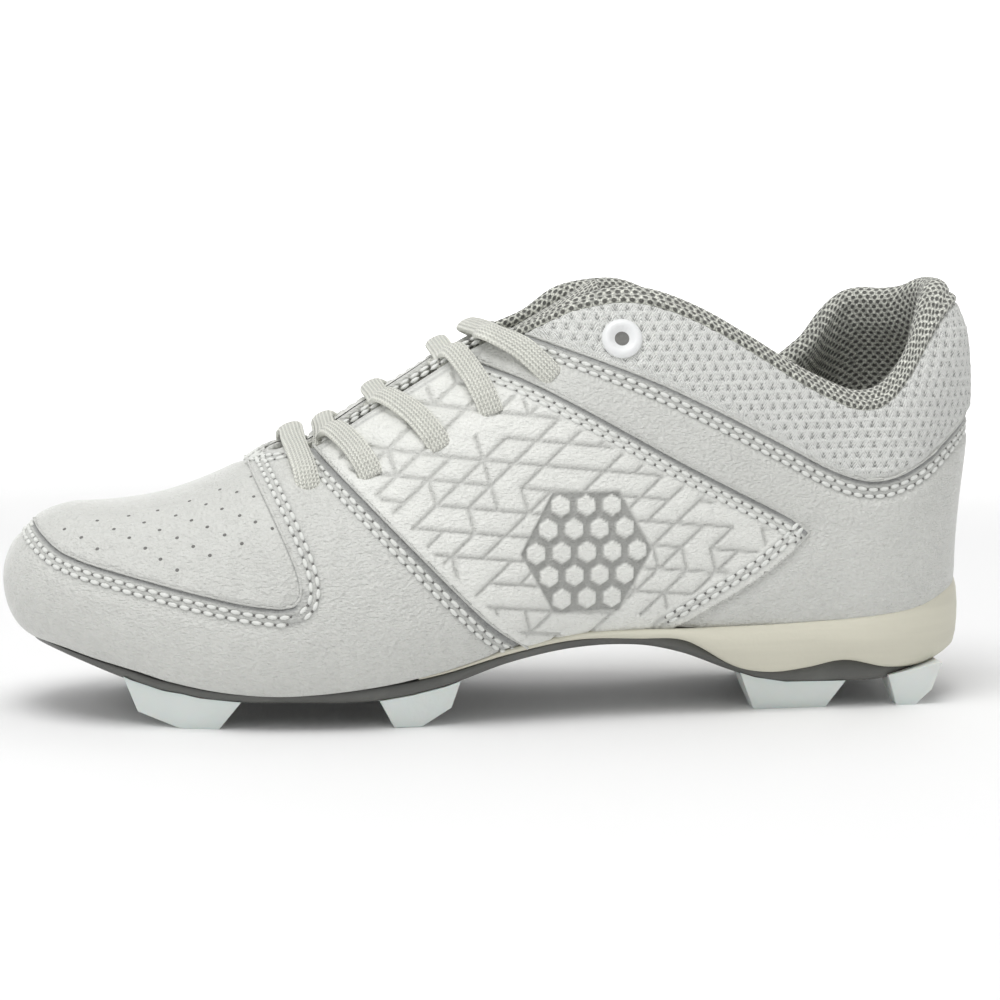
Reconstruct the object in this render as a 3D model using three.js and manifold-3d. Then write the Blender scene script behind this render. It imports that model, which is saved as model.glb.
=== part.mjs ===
// A left softball cleat, women's size, empty and standing on its moulded studs.
// Millimetres, +Z up, -X to the toe, +X to the heel, -Y the outer (lateral) side, +Y the inner (medial) side.
// The floor is z = 0 and the origin is under the middle of the shoe.
import * as THREE from "three";
import Module from "manifold-3d";
import { mergeVertices } from "three/addons/utils/BufferGeometryUtils.js";

const wasm = await Module();
wasm.setup();

// Driving sizes
const LENGTH = 274; // the upper, toe tip to the back of the heel
const BALL_WIDTH = 96; // across the ball of the foot
const HEEL_WIDTH = 66; // across the heel
const TOE_HEIGHT = 56; // floor to the top of the toe box
const VAMP_HEIGHT = 74; // floor to the front end of the throat
const COLLAR_HEIGHT = 119.5; // floor to the top of the heel
const TOE_DEPTH = 22; // length of the round front of the toe box
const TOE_SWING = 3; // how far the toe tip lies to the inner side
const STUD_HEIGHT = 7.5; // floor to the lowest part of the sole plate
const SOLE_STACK = 17.5; // sole plate and foam together, under the heel
const BULGE_RISE = 14; // from the sole's edge up to the widest level of the upper
const UPPER_WALL = 2.4; // leather and lining
const COLLAR_PAD = 8; // padded wall at the collar
const THROAT_WIDTH = 31; // across the throat, between the two lace edges
const CLEARANCE = 0.3; // between pieces that rest on each other

// Shape settings that carry no length
const TOE_ROUNDNESS = 2.1;
const HEEL_ROUNDNESS = 2.15;
const TUCK_ANGLE = THREE.MathUtils.degToRad(70); // how far the wall turns in at its bottom edge
const TUCK_SHARE = 0.2; // share of a wall line that lies below its widest level

// Half widths as shares of the ball's, which turn into shares of the heel's further back
const PLAN = [
  { at: 0.312, lateral: 0.998, medial: 0.99, heelward: 0 },
  { at: 0.37, lateral: 1.01, medial: 0.958, heelward: 0 },
  { at: 0.44, lateral: 1.03, medial: 0.9, heelward: 0.15 },
  { at: 0.52, lateral: 1.035, medial: 0.81, heelward: 0.38 },
  { at: 0.6, lateral: 1.03, medial: 0.785, heelward: 0.62 },
  { at: 0.7, lateral: 1.03, medial: 0.84, heelward: 0.85 },
  { at: 0.78, lateral: 1.04, medial: 0.94, heelward: 0.97 },
  { at: 0.844, lateral: 1.018, medial: 0.982, heelward: 1 },
];
// The side view of the sole: plate's underside, plate's upper edge, foam's upper edge and the level
// that the upper stands on, as shares of the sole's stack above the plate's lowest part
const SOLE = [
  { at: 0, under: 0.76, plate: 0.84, bite: 0.86, seat: 0.86 },
  { at: 0.036, under: 0.68, plate: 0.78, bite: 0.8, seat: 0.8 },
  { at: 0.07, under: 0.53, plate: 0.65, bite: 0.67, seat: 0.67 },
  { at: 0.116, under: 0.3, plate: 0.48, bite: 0.5, seat: 0.5 },
  { at: 0.152, under: 0.15, plate: 0.33, bite: 0.35, seat: 0.35 },
  { at: 0.21, under: 0.02, plate: 0.18, bite: 0.2, seat: 0.2 },
  { at: 0.275, under: 0, plate: 0.14, bite: 0.16, seat: 0.16 },
  { at: 0.355, under: 0.01, plate: 0.24, bite: 0.28, seat: 0.28 },
  { at: 0.422, under: 0.18, plate: 0.39, bite: 0.49, seat: 0.49 },
  { at: 0.493, under: 0.52, plate: 0.67, bite: 0.8, seat: 0.8 },
  { at: 0.56, under: 0.7, plate: 0.85, bite: 0.98, seat: 0.98 },
  { at: 0.627, under: 0.7, plate: 0.83, bite: 1, seat: 1 },
  { at: 0.675, under: 0.54, plate: 0.77, bite: 0.99, seat: 1 },
  { at: 0.728, under: 0.22, plate: 0.33, bite: 1, seat: 1 },
  { at: 0.765, under: 0.05, plate: 0.22, bite: 1.01, seat: 1 },
  { at: 0.804, under: 0, plate: 0.27, bite: 1.03, seat: 1 },
  { at: 0.845, under: 0, plate: 0.37, bite: 1.06, seat: 1 },
  { at: 0.89, under: 0.01, plate: 0.23, bite: 1.13, seat: 1 },
  { at: 0.93, under: 0.12, plate: 0.22, bite: 1.23, seat: 1 },
  { at: 0.965, under: 0.25, plate: 0.33, bite: 1.42, seat: 1 },
  { at: 1, under: 0.32, plate: 0.4, bite: 1.56, seat: 1 },
];
// The centre line over the toe box, from the toe's height to the vamp's
const VAMP_RISE = [
  { at: 0.08, rise: 0 },
  { at: 0.12, rise: 0.03 },
  { at: 0.16, rise: 0.13 },
  { at: 0.2, rise: 0.33 },
  { at: 0.24, rise: 0.61 },
  { at: 0.285, rise: 1 },
];
// The top edge: how far out it lies, as shares of half the throat's width in front and half the
// heel's width behind, and its height from the vamp's to the collar's
const TOPLINE = [
  { at: 0.285, wide: 0, lateral: 0.62, medial: 0.62, lateralUp: -0.01, medialUp: -0.01 },
  { at: 0.32, wide: 0, lateral: 0.9, medial: 0.86, lateralUp: 0.05, medialUp: 0.05 },
  { at: 0.365, wide: 0, lateral: 1, medial: 0.93, lateralUp: 0.22, medialUp: 0.22 },
  { at: 0.414, wide: 0, lateral: 1.03, medial: 0.96, lateralUp: 0.405, medialUp: 0.405 },
  { at: 0.457, wide: 0, lateral: 1.06, medial: 1, lateralUp: 0.57, medialUp: 0.57 },
  { at: 0.5, wide: 0.1, lateral: 1, medial: 0.95, lateralUp: 0.7, medialUp: 0.7 },
  { at: 0.535, wide: 0.3, lateral: 0.85, medial: 0.82, lateralUp: 0.81, medialUp: 0.8 },
  { at: 0.57, wide: 0.6, lateral: 0.77, medial: 0.76, lateralUp: 0.945, medialUp: 0.95 },
  { at: 0.61, wide: 0.9, lateral: 0.71, medial: 0.7, lateralUp: 1.01, medialUp: 1 },
  { at: 0.65, wide: 1, lateral: 0.72, medial: 0.7, lateralUp: 0.99, medialUp: 0.985 },
  { at: 0.7, wide: 1, lateral: 0.76, medial: 0.74, lateralUp: 0.875, medialUp: 0.84 },
  { at: 0.75, wide: 1, lateral: 0.79, medial: 0.77, lateralUp: 0.705, medialUp: 0.62 },
  { at: 0.8, wide: 1, lateral: 0.81, medial: 0.79, lateralUp: 0.52, medialUp: 0.46 },
  { at: 0.845, wide: 1, lateral: 0.82, medial: 0.8, lateralUp: 0.39, medialUp: 0.62 },
  { at: 0.87, wide: 1, lateral: 0.82, medial: 0.8, lateralUp: 0.36, medialUp: 0.79 },
  { at: 0.895, wide: 1, lateral: 0.82, medial: 0.8, lateralUp: 0.4, medialUp: 0.9 },
  { at: 0.922, wide: 1, lateral: 0.82, medial: 0.8, lateralUp: 0.55, medialUp: 0.935 },
  { at: 0.947, wide: 1, lateral: 0.82, medial: 0.8, lateralUp: 0.76, medialUp: 0.93 },
  { at: 0.972, wide: 1, lateral: 0.82, medial: 0.8, lateralUp: 0.93, medialUp: 0.945 },
  { at: 1, wide: 1, lateral: 0.82, medial: 0.8, lateralUp: 1, medialUp: 1 },
];
// How full each cross-section is: 2 is an ellipse, more is squarer
const FULLNESS = [
  { at: 0, power: 2.2 },
  { at: 0.16, power: 2.25 },
  { at: 0.285, power: 2 },
  { at: 0.42, power: 1.8 },
  { at: 0.52, power: 1.75 },
  { at: 0.62, power: 2 },
  { at: 0.75, power: 2.4 },
  { at: 1, power: 2.5 },
];
// The back of the heel: how far it stands in from the rearmost point, as shares of the heel's depth,
// from the widest level (0) to the top edge (1)
const HEEL_BACK = [
  { up: 0, inset: 0.09 },
  { up: 0.2, inset: 0.07 },
  { up: 0.45, inset: 0.02 },
  { up: 0.65, inset: 0 },
  { up: 0.85, inset: 0.03 },
  { up: 1, inset: 0.12 },
];
const THROAT_AT = 0.285; // front end of the throat, as a share of the length
const HEEL_AT = 0.844; // where the heel's round begins
const LATERAL_BALL_AT = 0.37;
const MEDIAL_BALL_AT = 0.312;

const TOE_X = -LENGTH / 2;
const xAt = (share) => TOE_X + share * LENGTH;
const shareAt = (x) => (x - TOE_X) / LENGTH;
const THROAT_X = xAt(THROAT_AT);
const HEEL_X = xAt(HEEL_AT);
const HEEL_DEPTH = LENGTH / 2 - HEEL_X;
const mix = THREE.MathUtils.lerp;
const clamp = THREE.MathUtils.clamp;
const smooth = (value, low, high) => THREE.MathUtils.smoothstep(value, low, high);
// Side-view tables are drawn for this length and collar height, and follow the driving sizes
const DRAWN_LENGTH = 274;
const DRAWN_COLLAR = 119.5;
const drawnX = (x) => (x * LENGTH) / DRAWN_LENGTH;
const drawnZ = (z) => (z * COLLAR_HEIGHT) / DRAWN_COLLAR;

// A smooth value of one column of a table, between and past its rows
function look(rows, key, column, at) {
  const last = rows.length - 1;
  if (at <= rows[0][key]) return rows[0][column];
  if (at >= rows[last][key]) return rows[last][column];
  let i = 0;
  while (rows[i + 1][key] < at) i += 1;
  const slope = (k) => {
    if (k === 0 || k === last) return 0;
    const before = rows[k - 1];
    const after = rows[k + 1];
    return (after[column] - before[column]) / (after[key] - before[key]);
  };
  const span = rows[i + 1][key] - rows[i][key];
  const u = (at - rows[i][key]) / span;
  const a = rows[i][column];
  const b = rows[i + 1][column];
  return (
    a * (2 * u ** 3 - 3 * u ** 2 + 1) +
    slope(i) * span * (u ** 3 - 2 * u ** 2 + u) +
    b * (3 * u ** 2 - 2 * u ** 3) +
    slope(i + 1) * span * (u ** 3 - u ** 2)
  );
}
const superArc = (u, power) => Math.max(0, 1 - Math.min(1, Math.abs(u)) ** power) ** (1 / power);

// Side is -1 for lateral and +1 for medial
const sideName = (side) => (side < 0 ? "lateral" : "medial");
function outlineY(x, side) {
  const at = shareAt(x);
  const ballAt = side < 0 ? LATERAL_BALL_AT : MEDIAL_BALL_AT;
  const column = sideName(side);
  const half = (share) => {
    const back = look(PLAN, "at", "heelward", share);
    return look(PLAN, "at", column, share) * mix(BALL_WIDTH, HEEL_WIDTH, back) / 2;
  };
  if (at >= ballAt) return side * half(at);
  const reach = side * half(ballAt) - TOE_SWING;
  return TOE_SWING + reach * superArc((ballAt - at) / ballAt, TOE_ROUNDNESS);
}
const centreY = (x) => TOE_SWING * clamp((THROAT_X - x) / (THROAT_X - TOE_X), 0, 1);
const soleZ = (at, column) => STUD_HEIGHT + SOLE_STACK * look(SOLE, "at", column, at);
const bulgeZ = (at) => soleZ(at, "seat") + BULGE_RISE;

// Wall thickness: thin over the foot, padded towards the collar's edge
function wallThickness(at, up) {
  const collar = smooth(at, 0.5, 0.6);
  return mix(UPPER_WALL, COLLAR_PAD, collar * smooth(up, 0.55, 0.92));
}
function topEdge(at, side) {
  const name = sideName(side);
  const wide = look(TOPLINE, "at", "wide", at);
  const y = side * look(TOPLINE, "at", name, at) * mix(THROAT_WIDTH, HEEL_WIDTH, wide) / 2;
  const crest = mix(VAMP_HEIGHT, COLLAR_HEIGHT, look(TOPLINE, "at", name + "Up", at));
  return { y, z: crest - wallThickness(at, 1) / 2 };
}
// Height of the centre line, which is only a guide line where the throat and collar are open
function ridgeZ(x, side) {
  const at = shareAt(x);
  const power = look(FULLNESS, "at", "power", at);
  const low = bulgeZ(at);
  const front = () => {
    const toeEnd = TOE_X + TOE_DEPTH;
    if (x < toeEnd) {
      const tip = bulgeZ(0);
      return tip + (TOE_HEIGHT - tip) * superArc((toeEnd - x) / TOE_DEPTH, 2);
    }
    return mix(TOE_HEIGHT, VAMP_HEIGHT, look(VAMP_RISE, "at", "rise", at));
  };
  const back = () => {
    const edge = topEdge(at, side);
    const half = Math.abs(outlineY(x, side));
    return low + (edge.z - low) / superArc(edge.y / half, power);
  };
  if (x <= THROAT_X) return front();
  return mix(front(), back(), smooth(at, THROAT_AT, THROAT_AT + 0.05));
}
function sectionZ(x, y, side) {
  const at = shareAt(x);
  const centre = centreY(x);
  const half = Math.abs(outlineY(x, side) - centre);
  const u = half < 0.01 ? 0 : (y - centre) / half;
  const low = bulgeZ(at);
  return low + (ridgeZ(x, side) - low) * superArc(u, look(FULLNESS, "at", "power", at));
}

// The upper's outer face. along runs from the toe tip (0) down the lateral side, round the heel (0.5)
// and back along the medial side to the toe (1). up runs from the sole (0) to the top edge (1).
const TOE_TURN = 0.16;
const HEEL_TURN = 0.4;
function wallPoint(along, up) {
  const side = along <= 0.5 ? -1 : 1;
  const turn = side < 0 ? along : 1 - along;
  const tuck = up < TUCK_SHARE ? TUCK_ANGLE * (1 - up / TUCK_SHARE) : 0;
  const climb = up > TUCK_SHARE ? (Math.PI / 2) * ((up - TUCK_SHARE) / (1 - TUCK_SHARE)) : 0;
  const q = 1 - Math.cos(climb);
  if (turn > HEEL_TURN) return heelPoint(side, turn, tuck, q);
  const base = turn < TOE_TURN ? toeLine(side, turn / TOE_TURN) : sideLine(side, turn);
  const x = mix(base.out.x, base.top.x, q);
  const y = mix(base.out.y, base.top.y, q);
  const inward = new THREE.Vector2(base.top.x - base.out.x, base.top.y - base.out.y).normalize();
  const tuckIn = base.tuck * (1 - Math.cos(tuck));
  const drop = (bulgeZ(shareAt(base.out.x)) - soleZ(shareAt(base.out.x), "seat")) / Math.sin(TUCK_ANGLE);
  const z = sectionZ(x, y, side) - drop * Math.sin(tuck);
  return new THREE.Vector3(x + inward.x * tuckIn, y + inward.y * tuckIn, z);
}
const TOE_TUCK = 9;
const SIDE_TUCK = 5;
const HEEL_TUCK = 2.5;
const THROAT_NOSE = 7;
function toeLine(side, f) {
  const ballX = xAt(side < 0 ? LATERAL_BALL_AT : MEDIAL_BALL_AT);
  const reach = ballX - TOE_X;
  const full = Math.acos(((ballX - THROAT_X) / reach) ** (TOE_ROUNDNESS / 2));
  const x = ballX - reach * Math.cos(full * f) ** (2 / TOE_ROUNDNESS);
  const edge = topEdge(THROAT_AT, side).y;
  const swing = (Math.PI / 2) * f;
  return {
    out: new THREE.Vector2(x, outlineY(x, side)),
    top: new THREE.Vector2(THROAT_X - THROAT_NOSE * Math.cos(swing), edge * Math.sin(swing)),
    tuck: mix(TOE_TUCK, SIDE_TUCK, f),
  };
}
function sideLine(side, turn) {
  const x = mix(THROAT_X, HEEL_X, (turn - TOE_TURN) / (HEEL_TURN - TOE_TURN));
  return {
    out: new THREE.Vector2(x, outlineY(x, side)),
    top: new THREE.Vector2(x, topEdge(shareAt(x), side).y),
    tuck: mix(SIDE_TUCK, HEEL_TUCK, smooth(turn, 0.3, HEEL_TURN)),
  };
}
function heelPoint(side, turn, tuck, q) {
  const angle = (Math.PI / 2) * (1 - (turn - HEEL_TURN) / (0.5 - HEEL_TURN));
  const forward = Math.cos(angle) ** (2 / HEEL_ROUNDNESS);
  const sideways = Math.sin(angle) ** (2 / HEEL_ROUNDNESS);
  const at = shareAt(HEEL_X + HEEL_DEPTH * forward);
  const hipY = mix(outlineY(HEEL_X, side), topEdge(HEEL_AT, side).y, q);
  const hipLow = bulgeZ(HEEL_AT);
  const climb = (sectionZ(HEEL_X, hipY, side) - hipLow) / (topEdge(HEEL_AT, side).z - hipLow);
  const depth = HEEL_DEPTH * (1 - look(HEEL_BACK, "up", "inset", climb));
  const tuckIn = HEEL_TUCK * (1 - Math.cos(tuck));
  const low = bulgeZ(at);
  const drop = (low - soleZ(at, "seat")) / Math.sin(TUCK_ANGLE);
  return new THREE.Vector3(
    HEEL_X + (depth - tuckIn) * forward,
    (Math.abs(hipY) - tuckIn) * sideways * side,
    mix(low, topEdge(at, side).z, climb) - drop * Math.sin(tuck),
  );
}

function wallNormal(along, up) {
  const step = 0.004;
  const wrap = (value) => (value + 1) % 1;
  const low = Math.max(0, up - step);
  const high = Math.min(1, up + step);
  const round = wallPoint(wrap(along + step), up).sub(wallPoint(wrap(along - step), up));
  const climb = wallPoint(along, high).sub(wallPoint(along, low));
  return round.cross(climb).normalize();
}
// A point off the outer face: lift is outwards, and less than zero lies inside the wall
function offPoint(along, up, lift) {
  return wallPoint(along, up).addScaledVector(wallNormal(along, up), lift);
}

// Mesh tools
function meshOf(points, faces) {
  const vertProperties = new Float32Array(points.flatMap((p) => [p.x, p.y, p.z]));
  const triVerts = new Uint32Array(faces.flat());
  const mesh = new wasm.Mesh({ numProp: 3, vertProperties, triVerts });
  mesh.merge();
  return new wasm.Manifold(mesh);
}
// Closed loops of equal length, each joined to the next one
function bandFaces(loops, count, closed) {
  const faces = [];
  const steps = closed ? loops : loops - 1;
  for (let j = 0; j < steps; j += 1) {
    const next = (j + 1) % loops;
    for (let i = 0; i < count; i += 1) {
      const k = (i + 1) % count;
      faces.push([j * count + i, j * count + k, next * count + k]);
      faces.push([j * count + i, next * count + k, next * count + i]);
    }
  }
  return faces;
}
// A shoe-shaped loop closed across its width: rungs run from the lateral to the medial points
function ladderFaces(first, count, turned) {
  const faces = [];
  const at = (i) => first + (i % count);
  for (let i = 0; i < count / 2; i += 1) {
    const [a, b, c, d] = [at(i), at(i + 1), at(count - i - 1), at(count - i)];
    if (i > 0) faces.push([a, c, d]);
    if (i < count / 2 - 1) faces.push([a, b, c]);
  }
  return turned ? faces.map(([a, b, c]) => [a, c, b]) : faces;
}
// A solid stacked from shoe-shaped loops, the lowest first
function stack(loops) {
  const count = loops[0].length;
  const last = (loops.length - 1) * count;
  const faces = [
    ...bandFaces(loops.length, count, false),
    ...ladderFaces(0, count, true),
    ...ladderFaces(last, count, false),
  ];
  return meshOf(loops.flat(), faces);
}
// A solid swept through like-shaped rings, closed at both ends
function sweep(rings) {
  const count = rings[0].length;
  const last = (rings.length - 1) * count;
  const faces = bandFaces(rings.length, count, false);
  for (let i = 1; i < count - 1; i += 1) {
    faces.push([0, i + 1, i]);
    faces.push([last, last + i, last + i + 1]);
  }
  return meshOf(rings.flat(), faces);
}
// A solid that fills a side-view outline from one y to another
function sideBlock(outline, fromY, toY) {
  const flat = outline.map(([x, z]) => new THREE.Vector2(x, z));
  if (THREE.ShapeUtils.area(flat) > 0) flat.reverse();
  const count = flat.length;
  const near = flat.map((p) => new THREE.Vector3(p.x, fromY, p.y));
  const far = flat.map((p) => new THREE.Vector3(p.x, toY, p.y));
  const faces = bandFaces(2, count, false);
  THREE.ShapeUtils.triangulateShape(flat, []).forEach(([a, b, c]) => {
    const turn = flat[b].clone().sub(flat[a]).cross(flat[c].clone().sub(flat[a]));
    const [p, q] = turn > 0 ? [b, c] : [c, b];
    faces.push([a, p, q]);
    faces.push([count + a, count + q, count + p]);
  });
  return meshOf([...near, ...far], faces);
}

const SPOKES = 72;
const ALONGS = Array.from({ length: SPOKES }, (_, i) => i / SPOKES);
const loopAt = (up, lift) => ALONGS.map((along) => offPoint(along, up, lift(along, up)));
const shareOn = (along, up) => shareAt(wallPoint(along, up).x);
const wallLift = (along, up) => -wallThickness(shareOn(along, up), up);

// The upper: one wall, closed at its bottom edge and rounded over its top edge
const WALL_ROWS = [0, 0.07, 0.14, 0.21, 0.32, 0.44, 0.56, 0.68, 0.8, 0.9, 1];
function rimLoop(turn, grow) {
  return ALONGS.map((along) => {
    const outer = offPoint(along, 1, grow);
    const inner = offPoint(along, 1, wallLift(along, 1) - grow);
    const rise = wallPoint(along, 1).sub(wallPoint(along, 0.98)).normalize();
    const middle = outer.clone().add(inner).multiplyScalar(0.5);
    const half = outer.clone().sub(inner).multiplyScalar(0.5);
    const up = rise.multiplyScalar(half.length() * Math.sin(turn));
    return middle.add(half.multiplyScalar(Math.cos(turn))).add(up);
  });
}
function upperSolid(grow) {
  const outer = WALL_ROWS.map((up) => loopAt(up, () => grow));
  const rim = [0.25, 0.5, 0.75].map((share) => rimLoop(Math.PI * share, grow));
  const inner = [...WALL_ROWS].reverse().map((up) => loopAt(up, (along) => wallLift(along, up) - grow));
  const loops = [...outer, ...rim, ...inner];
  return meshOf(loops.flat(), bandFaces(loops.length, SPOKES, true));
}
// What is left of a piece clear of others: its largest part
function clearOf(solid, others) {
  const parts = others.reduce((rest, other) => rest.subtract(other), solid).decompose();
  return parts.reduce((best, part) => (part.volume() > best.volume() ? part : best));
}

// A closed skin that follows the upper's outer face, between two distances from it
const OVERLAY_GAP = CLEARANCE;
const OVERLAY_THICK = 1;
const SKIN_ROWS = WALL_ROWS.slice(1, -1);
function skinSolid(extra) {
  const rows = SKIN_ROWS.length;
  const face = (lift) => SKIN_ROWS.map((up) => loopAt(up, () => lift));
  const inner = face(OVERLAY_GAP - extra);
  const outer = face(OVERLAY_GAP + OVERLAY_THICK + extra);
  const band = bandFaces(rows, SPOKES, false);
  const shift = (faces, by) => faces.map((tri) => tri.map((v) => v + by));
  const turned = (faces) => faces.map(([p, q, r]) => [p, r, q]);
  const rim = (row) =>
    bandFaces(2, SPOKES, false).map((tri) => tri.map((v) => (v < SPOKES ? v : v + (rows - 1) * SPOKES) + row * SPOKES));
  return meshOf(
    [...inner, ...outer].flat(),
    [...turned(band), ...shift(band, rows * SPOKES), ...rim(0), ...turned(rim(rows - 1))],
  );
}
// The toe wing's edges in the side view, from the toe tip over the vamp seam to the lace edge
const WING_EDGE = [
  { x: -150, z: 53 },
  { x: -129, z: 53 },
  { x: -121, z: 46.5 },
  { x: -100, z: 40.8 },
  { x: -76, z: 35.5 },
  { x: -62, z: 34.5 },
  { x: -58.6, z: 37.5 },
  { x: -60, z: 44 },
  { x: -70, z: 70.5 },
  { x: -51.5, z: 73 },
  { x: -28, z: 48.3 },
  { x: -10, z: 30.5 },
  { x: 1, z: 22.5 },
  { x: 2, z: 0 },
  { x: -150, z: 0 },
];
// The saddle and heel counter: quarter seam, heel and collar seam
const SADDLE_EDGE = [
  { x: -7.5, z: 97.5 },
  { x: 17.7, z: 86.4 },
  { x: 61.9, z: 62.8 },
  { x: 82, z: 51.5 },
  { x: 83.3, z: 49.5 },
  { x: 77, z: 44.4 },
  { x: 44, z: 25 },
  { x: 43, z: 0 },
  { x: 150, z: 0 },
  { x: 150, z: 82 },
  { x: 138, z: 82 },
  { x: 128, z: 77 },
  { x: 116.6, z: 68.8 },
  { x: 106.4, z: 64.8 },
  { x: 99.4, z: 64.6 },
  { x: 91.8, z: 67 },
  { x: 59.2, z: 83.6 },
  { x: 22.5, z: 99.1 },
  { x: 0, z: 106.8 },
];
const overlaySolid = (edge, extra) => {
  const outline = edge.map((row) => [drawnX(row.x), drawnZ(row.z)]);
  return skinSolid(extra).intersect(sideBlock(outline, -BALL_WIDTH, BALL_WIDTH));
};

// Sole: shoe-shaped loops set in from the upper's widest outline
const SOLE_ROUND = 0.9;
function soleLoop(inset, height) {
  return ALONGS.map((along) => {
    const wide = wallPoint(along, TUCK_SHARE);
    const at = clamp(shareAt(wide.x), 0, 1);
    const normal = wallNormal(along, TUCK_SHARE).setZ(0).normalize();
    const p = wide.addScaledVector(normal, -inset(at));
    return p.setZ(height(shareAt(p.x)));
  });
}
const plateInset = (at) => mix(6.2, 3.4, smooth(at, 0, 0.2)) - 1.6 * smooth(at, 0.72, 0.82);
const foamInset = (at) => mix(3.2, -1.8, smooth(at, 0.42, 0.75)) - 0.6 * smooth(at, 0.9, 1);
const plateUnder = (at) => soleZ(at, "under");
const plateTop = (at) => soleZ(at, "plate");
const foamTop = (at) => soleZ(at, "bite") - CLEARANCE;
const seatTop = (at) => soleZ(at, "seat") - CLEARANCE;
const PLATE_LIP = 1.1;

function plateSolid(under, grow) {
  return stack([
    soleLoop((at) => plateInset(at) + 2.2 - grow, (at) => plateUnder(at) - under),
    soleLoop((at) => plateInset(at) + 0.4 - grow, (at) => plateUnder(at) + PLATE_LIP - under),
    soleLoop((at) => plateInset(at) - grow, (at) => plateTop(at) - 0.4),
    soleLoop((at) => plateInset(at) + 0.4 - grow, plateTop),
  ]);
}
const FOAM_FRONT = xAt(0.402);
function foamSolid() {
  const low = (at) => Math.min(plateTop(at) + CLEARANCE, seatTop(at) - 1);
  const middle = (at) => mix(low(at), foamTop(at), 0.55);
  const block = stack([
    soleLoop((at) => foamInset(at) + 2.2, low),
    soleLoop((at) => foamInset(at) + 0.5, (at) => mix(low(at), foamTop(at), 0.2)),
    soleLoop(foamInset, middle),
    soleLoop((at) => foamInset(at) + 0.5, (at) => mix(low(at), foamTop(at), 0.85)),
    soleLoop((at) => foamInset(at) + 1.6, foamTop),
  ]);
  return block.trimByPlane([1, 0, 0], FOAM_FRONT).subtract(bedSolid());
}
// The space that the upper and its overlays take on the sole, with a clearance all round
function bedSolid() {
  const lift = (up) => (up > 0 ? 2 * CLEARANCE + OVERLAY_THICK : CLEARANCE);
  const loops = WALL_ROWS.slice(0, 5).map((up) => loopAt(up, () => lift(up)));
  loops[0].forEach((p) => p.setZ(seatTop(shareAt(p.x))));
  return stack(loops);
}
// The insole lies on the sole inside the upper, with its edge turned up at the arch and heel
const INSOLE_THICK = 4.5;
function insoleSolid() {
  const inset = (at) => mix(9.2, 6.4, smooth(at, 0, 0.2)) - 2 * smooth(at, 0.5, 0.85);
  const seat = (at) => seatTop(at) + CLEARANCE;
  return stack([
    soleLoop((at) => inset(at) + 0.8, seat),
    soleLoop(inset, (at) => seat(at) + INSOLE_THICK - 0.8),
    soleLoop((at) => inset(at) + 1, (at) => seat(at) + INSOLE_THICK),
  ]);
}

// Studs: moulded wedges under the edge of the sole. from and to are at the sole, tip, flat and heel
// are the foot's ends and where its flat part begins, all along x
const STUDS = [
  { name: "fore_front", from: -106, to: -74, tip: -102, flat: -91, end: -80.5, lift: 4 },
  { name: "fore_rear", from: -38.4, to: -15, tip: -33.5, flat: -33.4, end: -26, lift: 0 },
  { name: "heel_side", from: 64.4, to: 96.2, tip: 69.4, flat: 69.5, end: 90.2, lift: 0 },
  { name: "heel_back", from: 107.8, to: 123.5, tip: 111, flat: 111.1, end: 116.5, lift: 0 },
];
const STUD_THICK = 10;
const INNER_HEEL_SHIFT = 9; // the inner heel stud stands this much further back
const STUD_TIP = { fore_rear: { x: -17.8, z: 5 }, heel_back: { x: 121, z: 4.2 } };
function studSolid(stud, side) {
  const back = side > 0 && stud.name === "heel_side" ? INNER_HEEL_SHIFT : 0;
  const rootZ = (x) => plateUnder(shareAt(x)) + 1.2;
  const edgeY = (x) => Math.abs(outlineY(x, side)) - plateInset(shareAt(x)) - 0.6;
  const points = [];
  const pair = (drawn, z, lean, thick) => {
    const x = drawnX(drawn + back);
    const y = edgeY(x) - lean;
    points.push([x, side * y, z], [x, side * (y - thick), z]);
  };
  [stud.from, (stud.from + stud.to) / 2, stud.to].forEach((x) => {
    pair(x, rootZ(drawnX(x + back)), 0, STUD_THICK);
  });
  pair(stud.tip, stud.lift, 2, STUD_THICK * 0.55);
  pair(stud.flat, 0, 2, STUD_THICK * 0.55);
  pair(stud.end, 0, 2, STUD_THICK * 0.55);
  const tip = STUD_TIP[stud.name];
  if (tip) pair(tip.x, tip.z, 1.6, STUD_THICK * 0.6);
  return clearOf(wasm.Manifold.hull(points), [plateSolid(CLEARANCE, 0.5)]);
}

// Tongue: a padded strip under the lace edges, out over the front of the collar
const TONGUE_THICK = 4;
const TONGUE_LINE = [
  { x: -69, crown: 62 },
  { x: -61.5, crown: 65 },
  { x: -54, crown: 68.5 },
  { x: -46, crown: 74 },
  { x: -36, crown: 80.3 },
  { x: -24, crown: 88.2 },
  { x: -12, crown: 95.6 },
  { x: 0, crown: 102.4 },
  { x: 10, crown: 108.4 },
  { x: 18, crown: 113 },
  { x: 24.5, crown: 117.2 },
  { x: 28.5, crown: 119.4 },
].map((row) => ({ x: drawnX(row.x), crown: drawnZ(row.crown) }));
const TONGUE_POINTS = 8;
const TONGUE_SEEN = drawnX(-54); // where it comes out from under the vamp
const TONGUE_FREE = drawnX(16); // where the tongue leaves the shelter of the lace edges
const TONGUE_REACH = drawnX(29.5);
function alongAt(x, side) {
  const turn = TOE_TURN + (HEEL_TURN - TOE_TURN) * ((x - THROAT_X) / (HEEL_X - THROAT_X));
  return side < 0 ? turn : 1 - turn;
}
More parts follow.
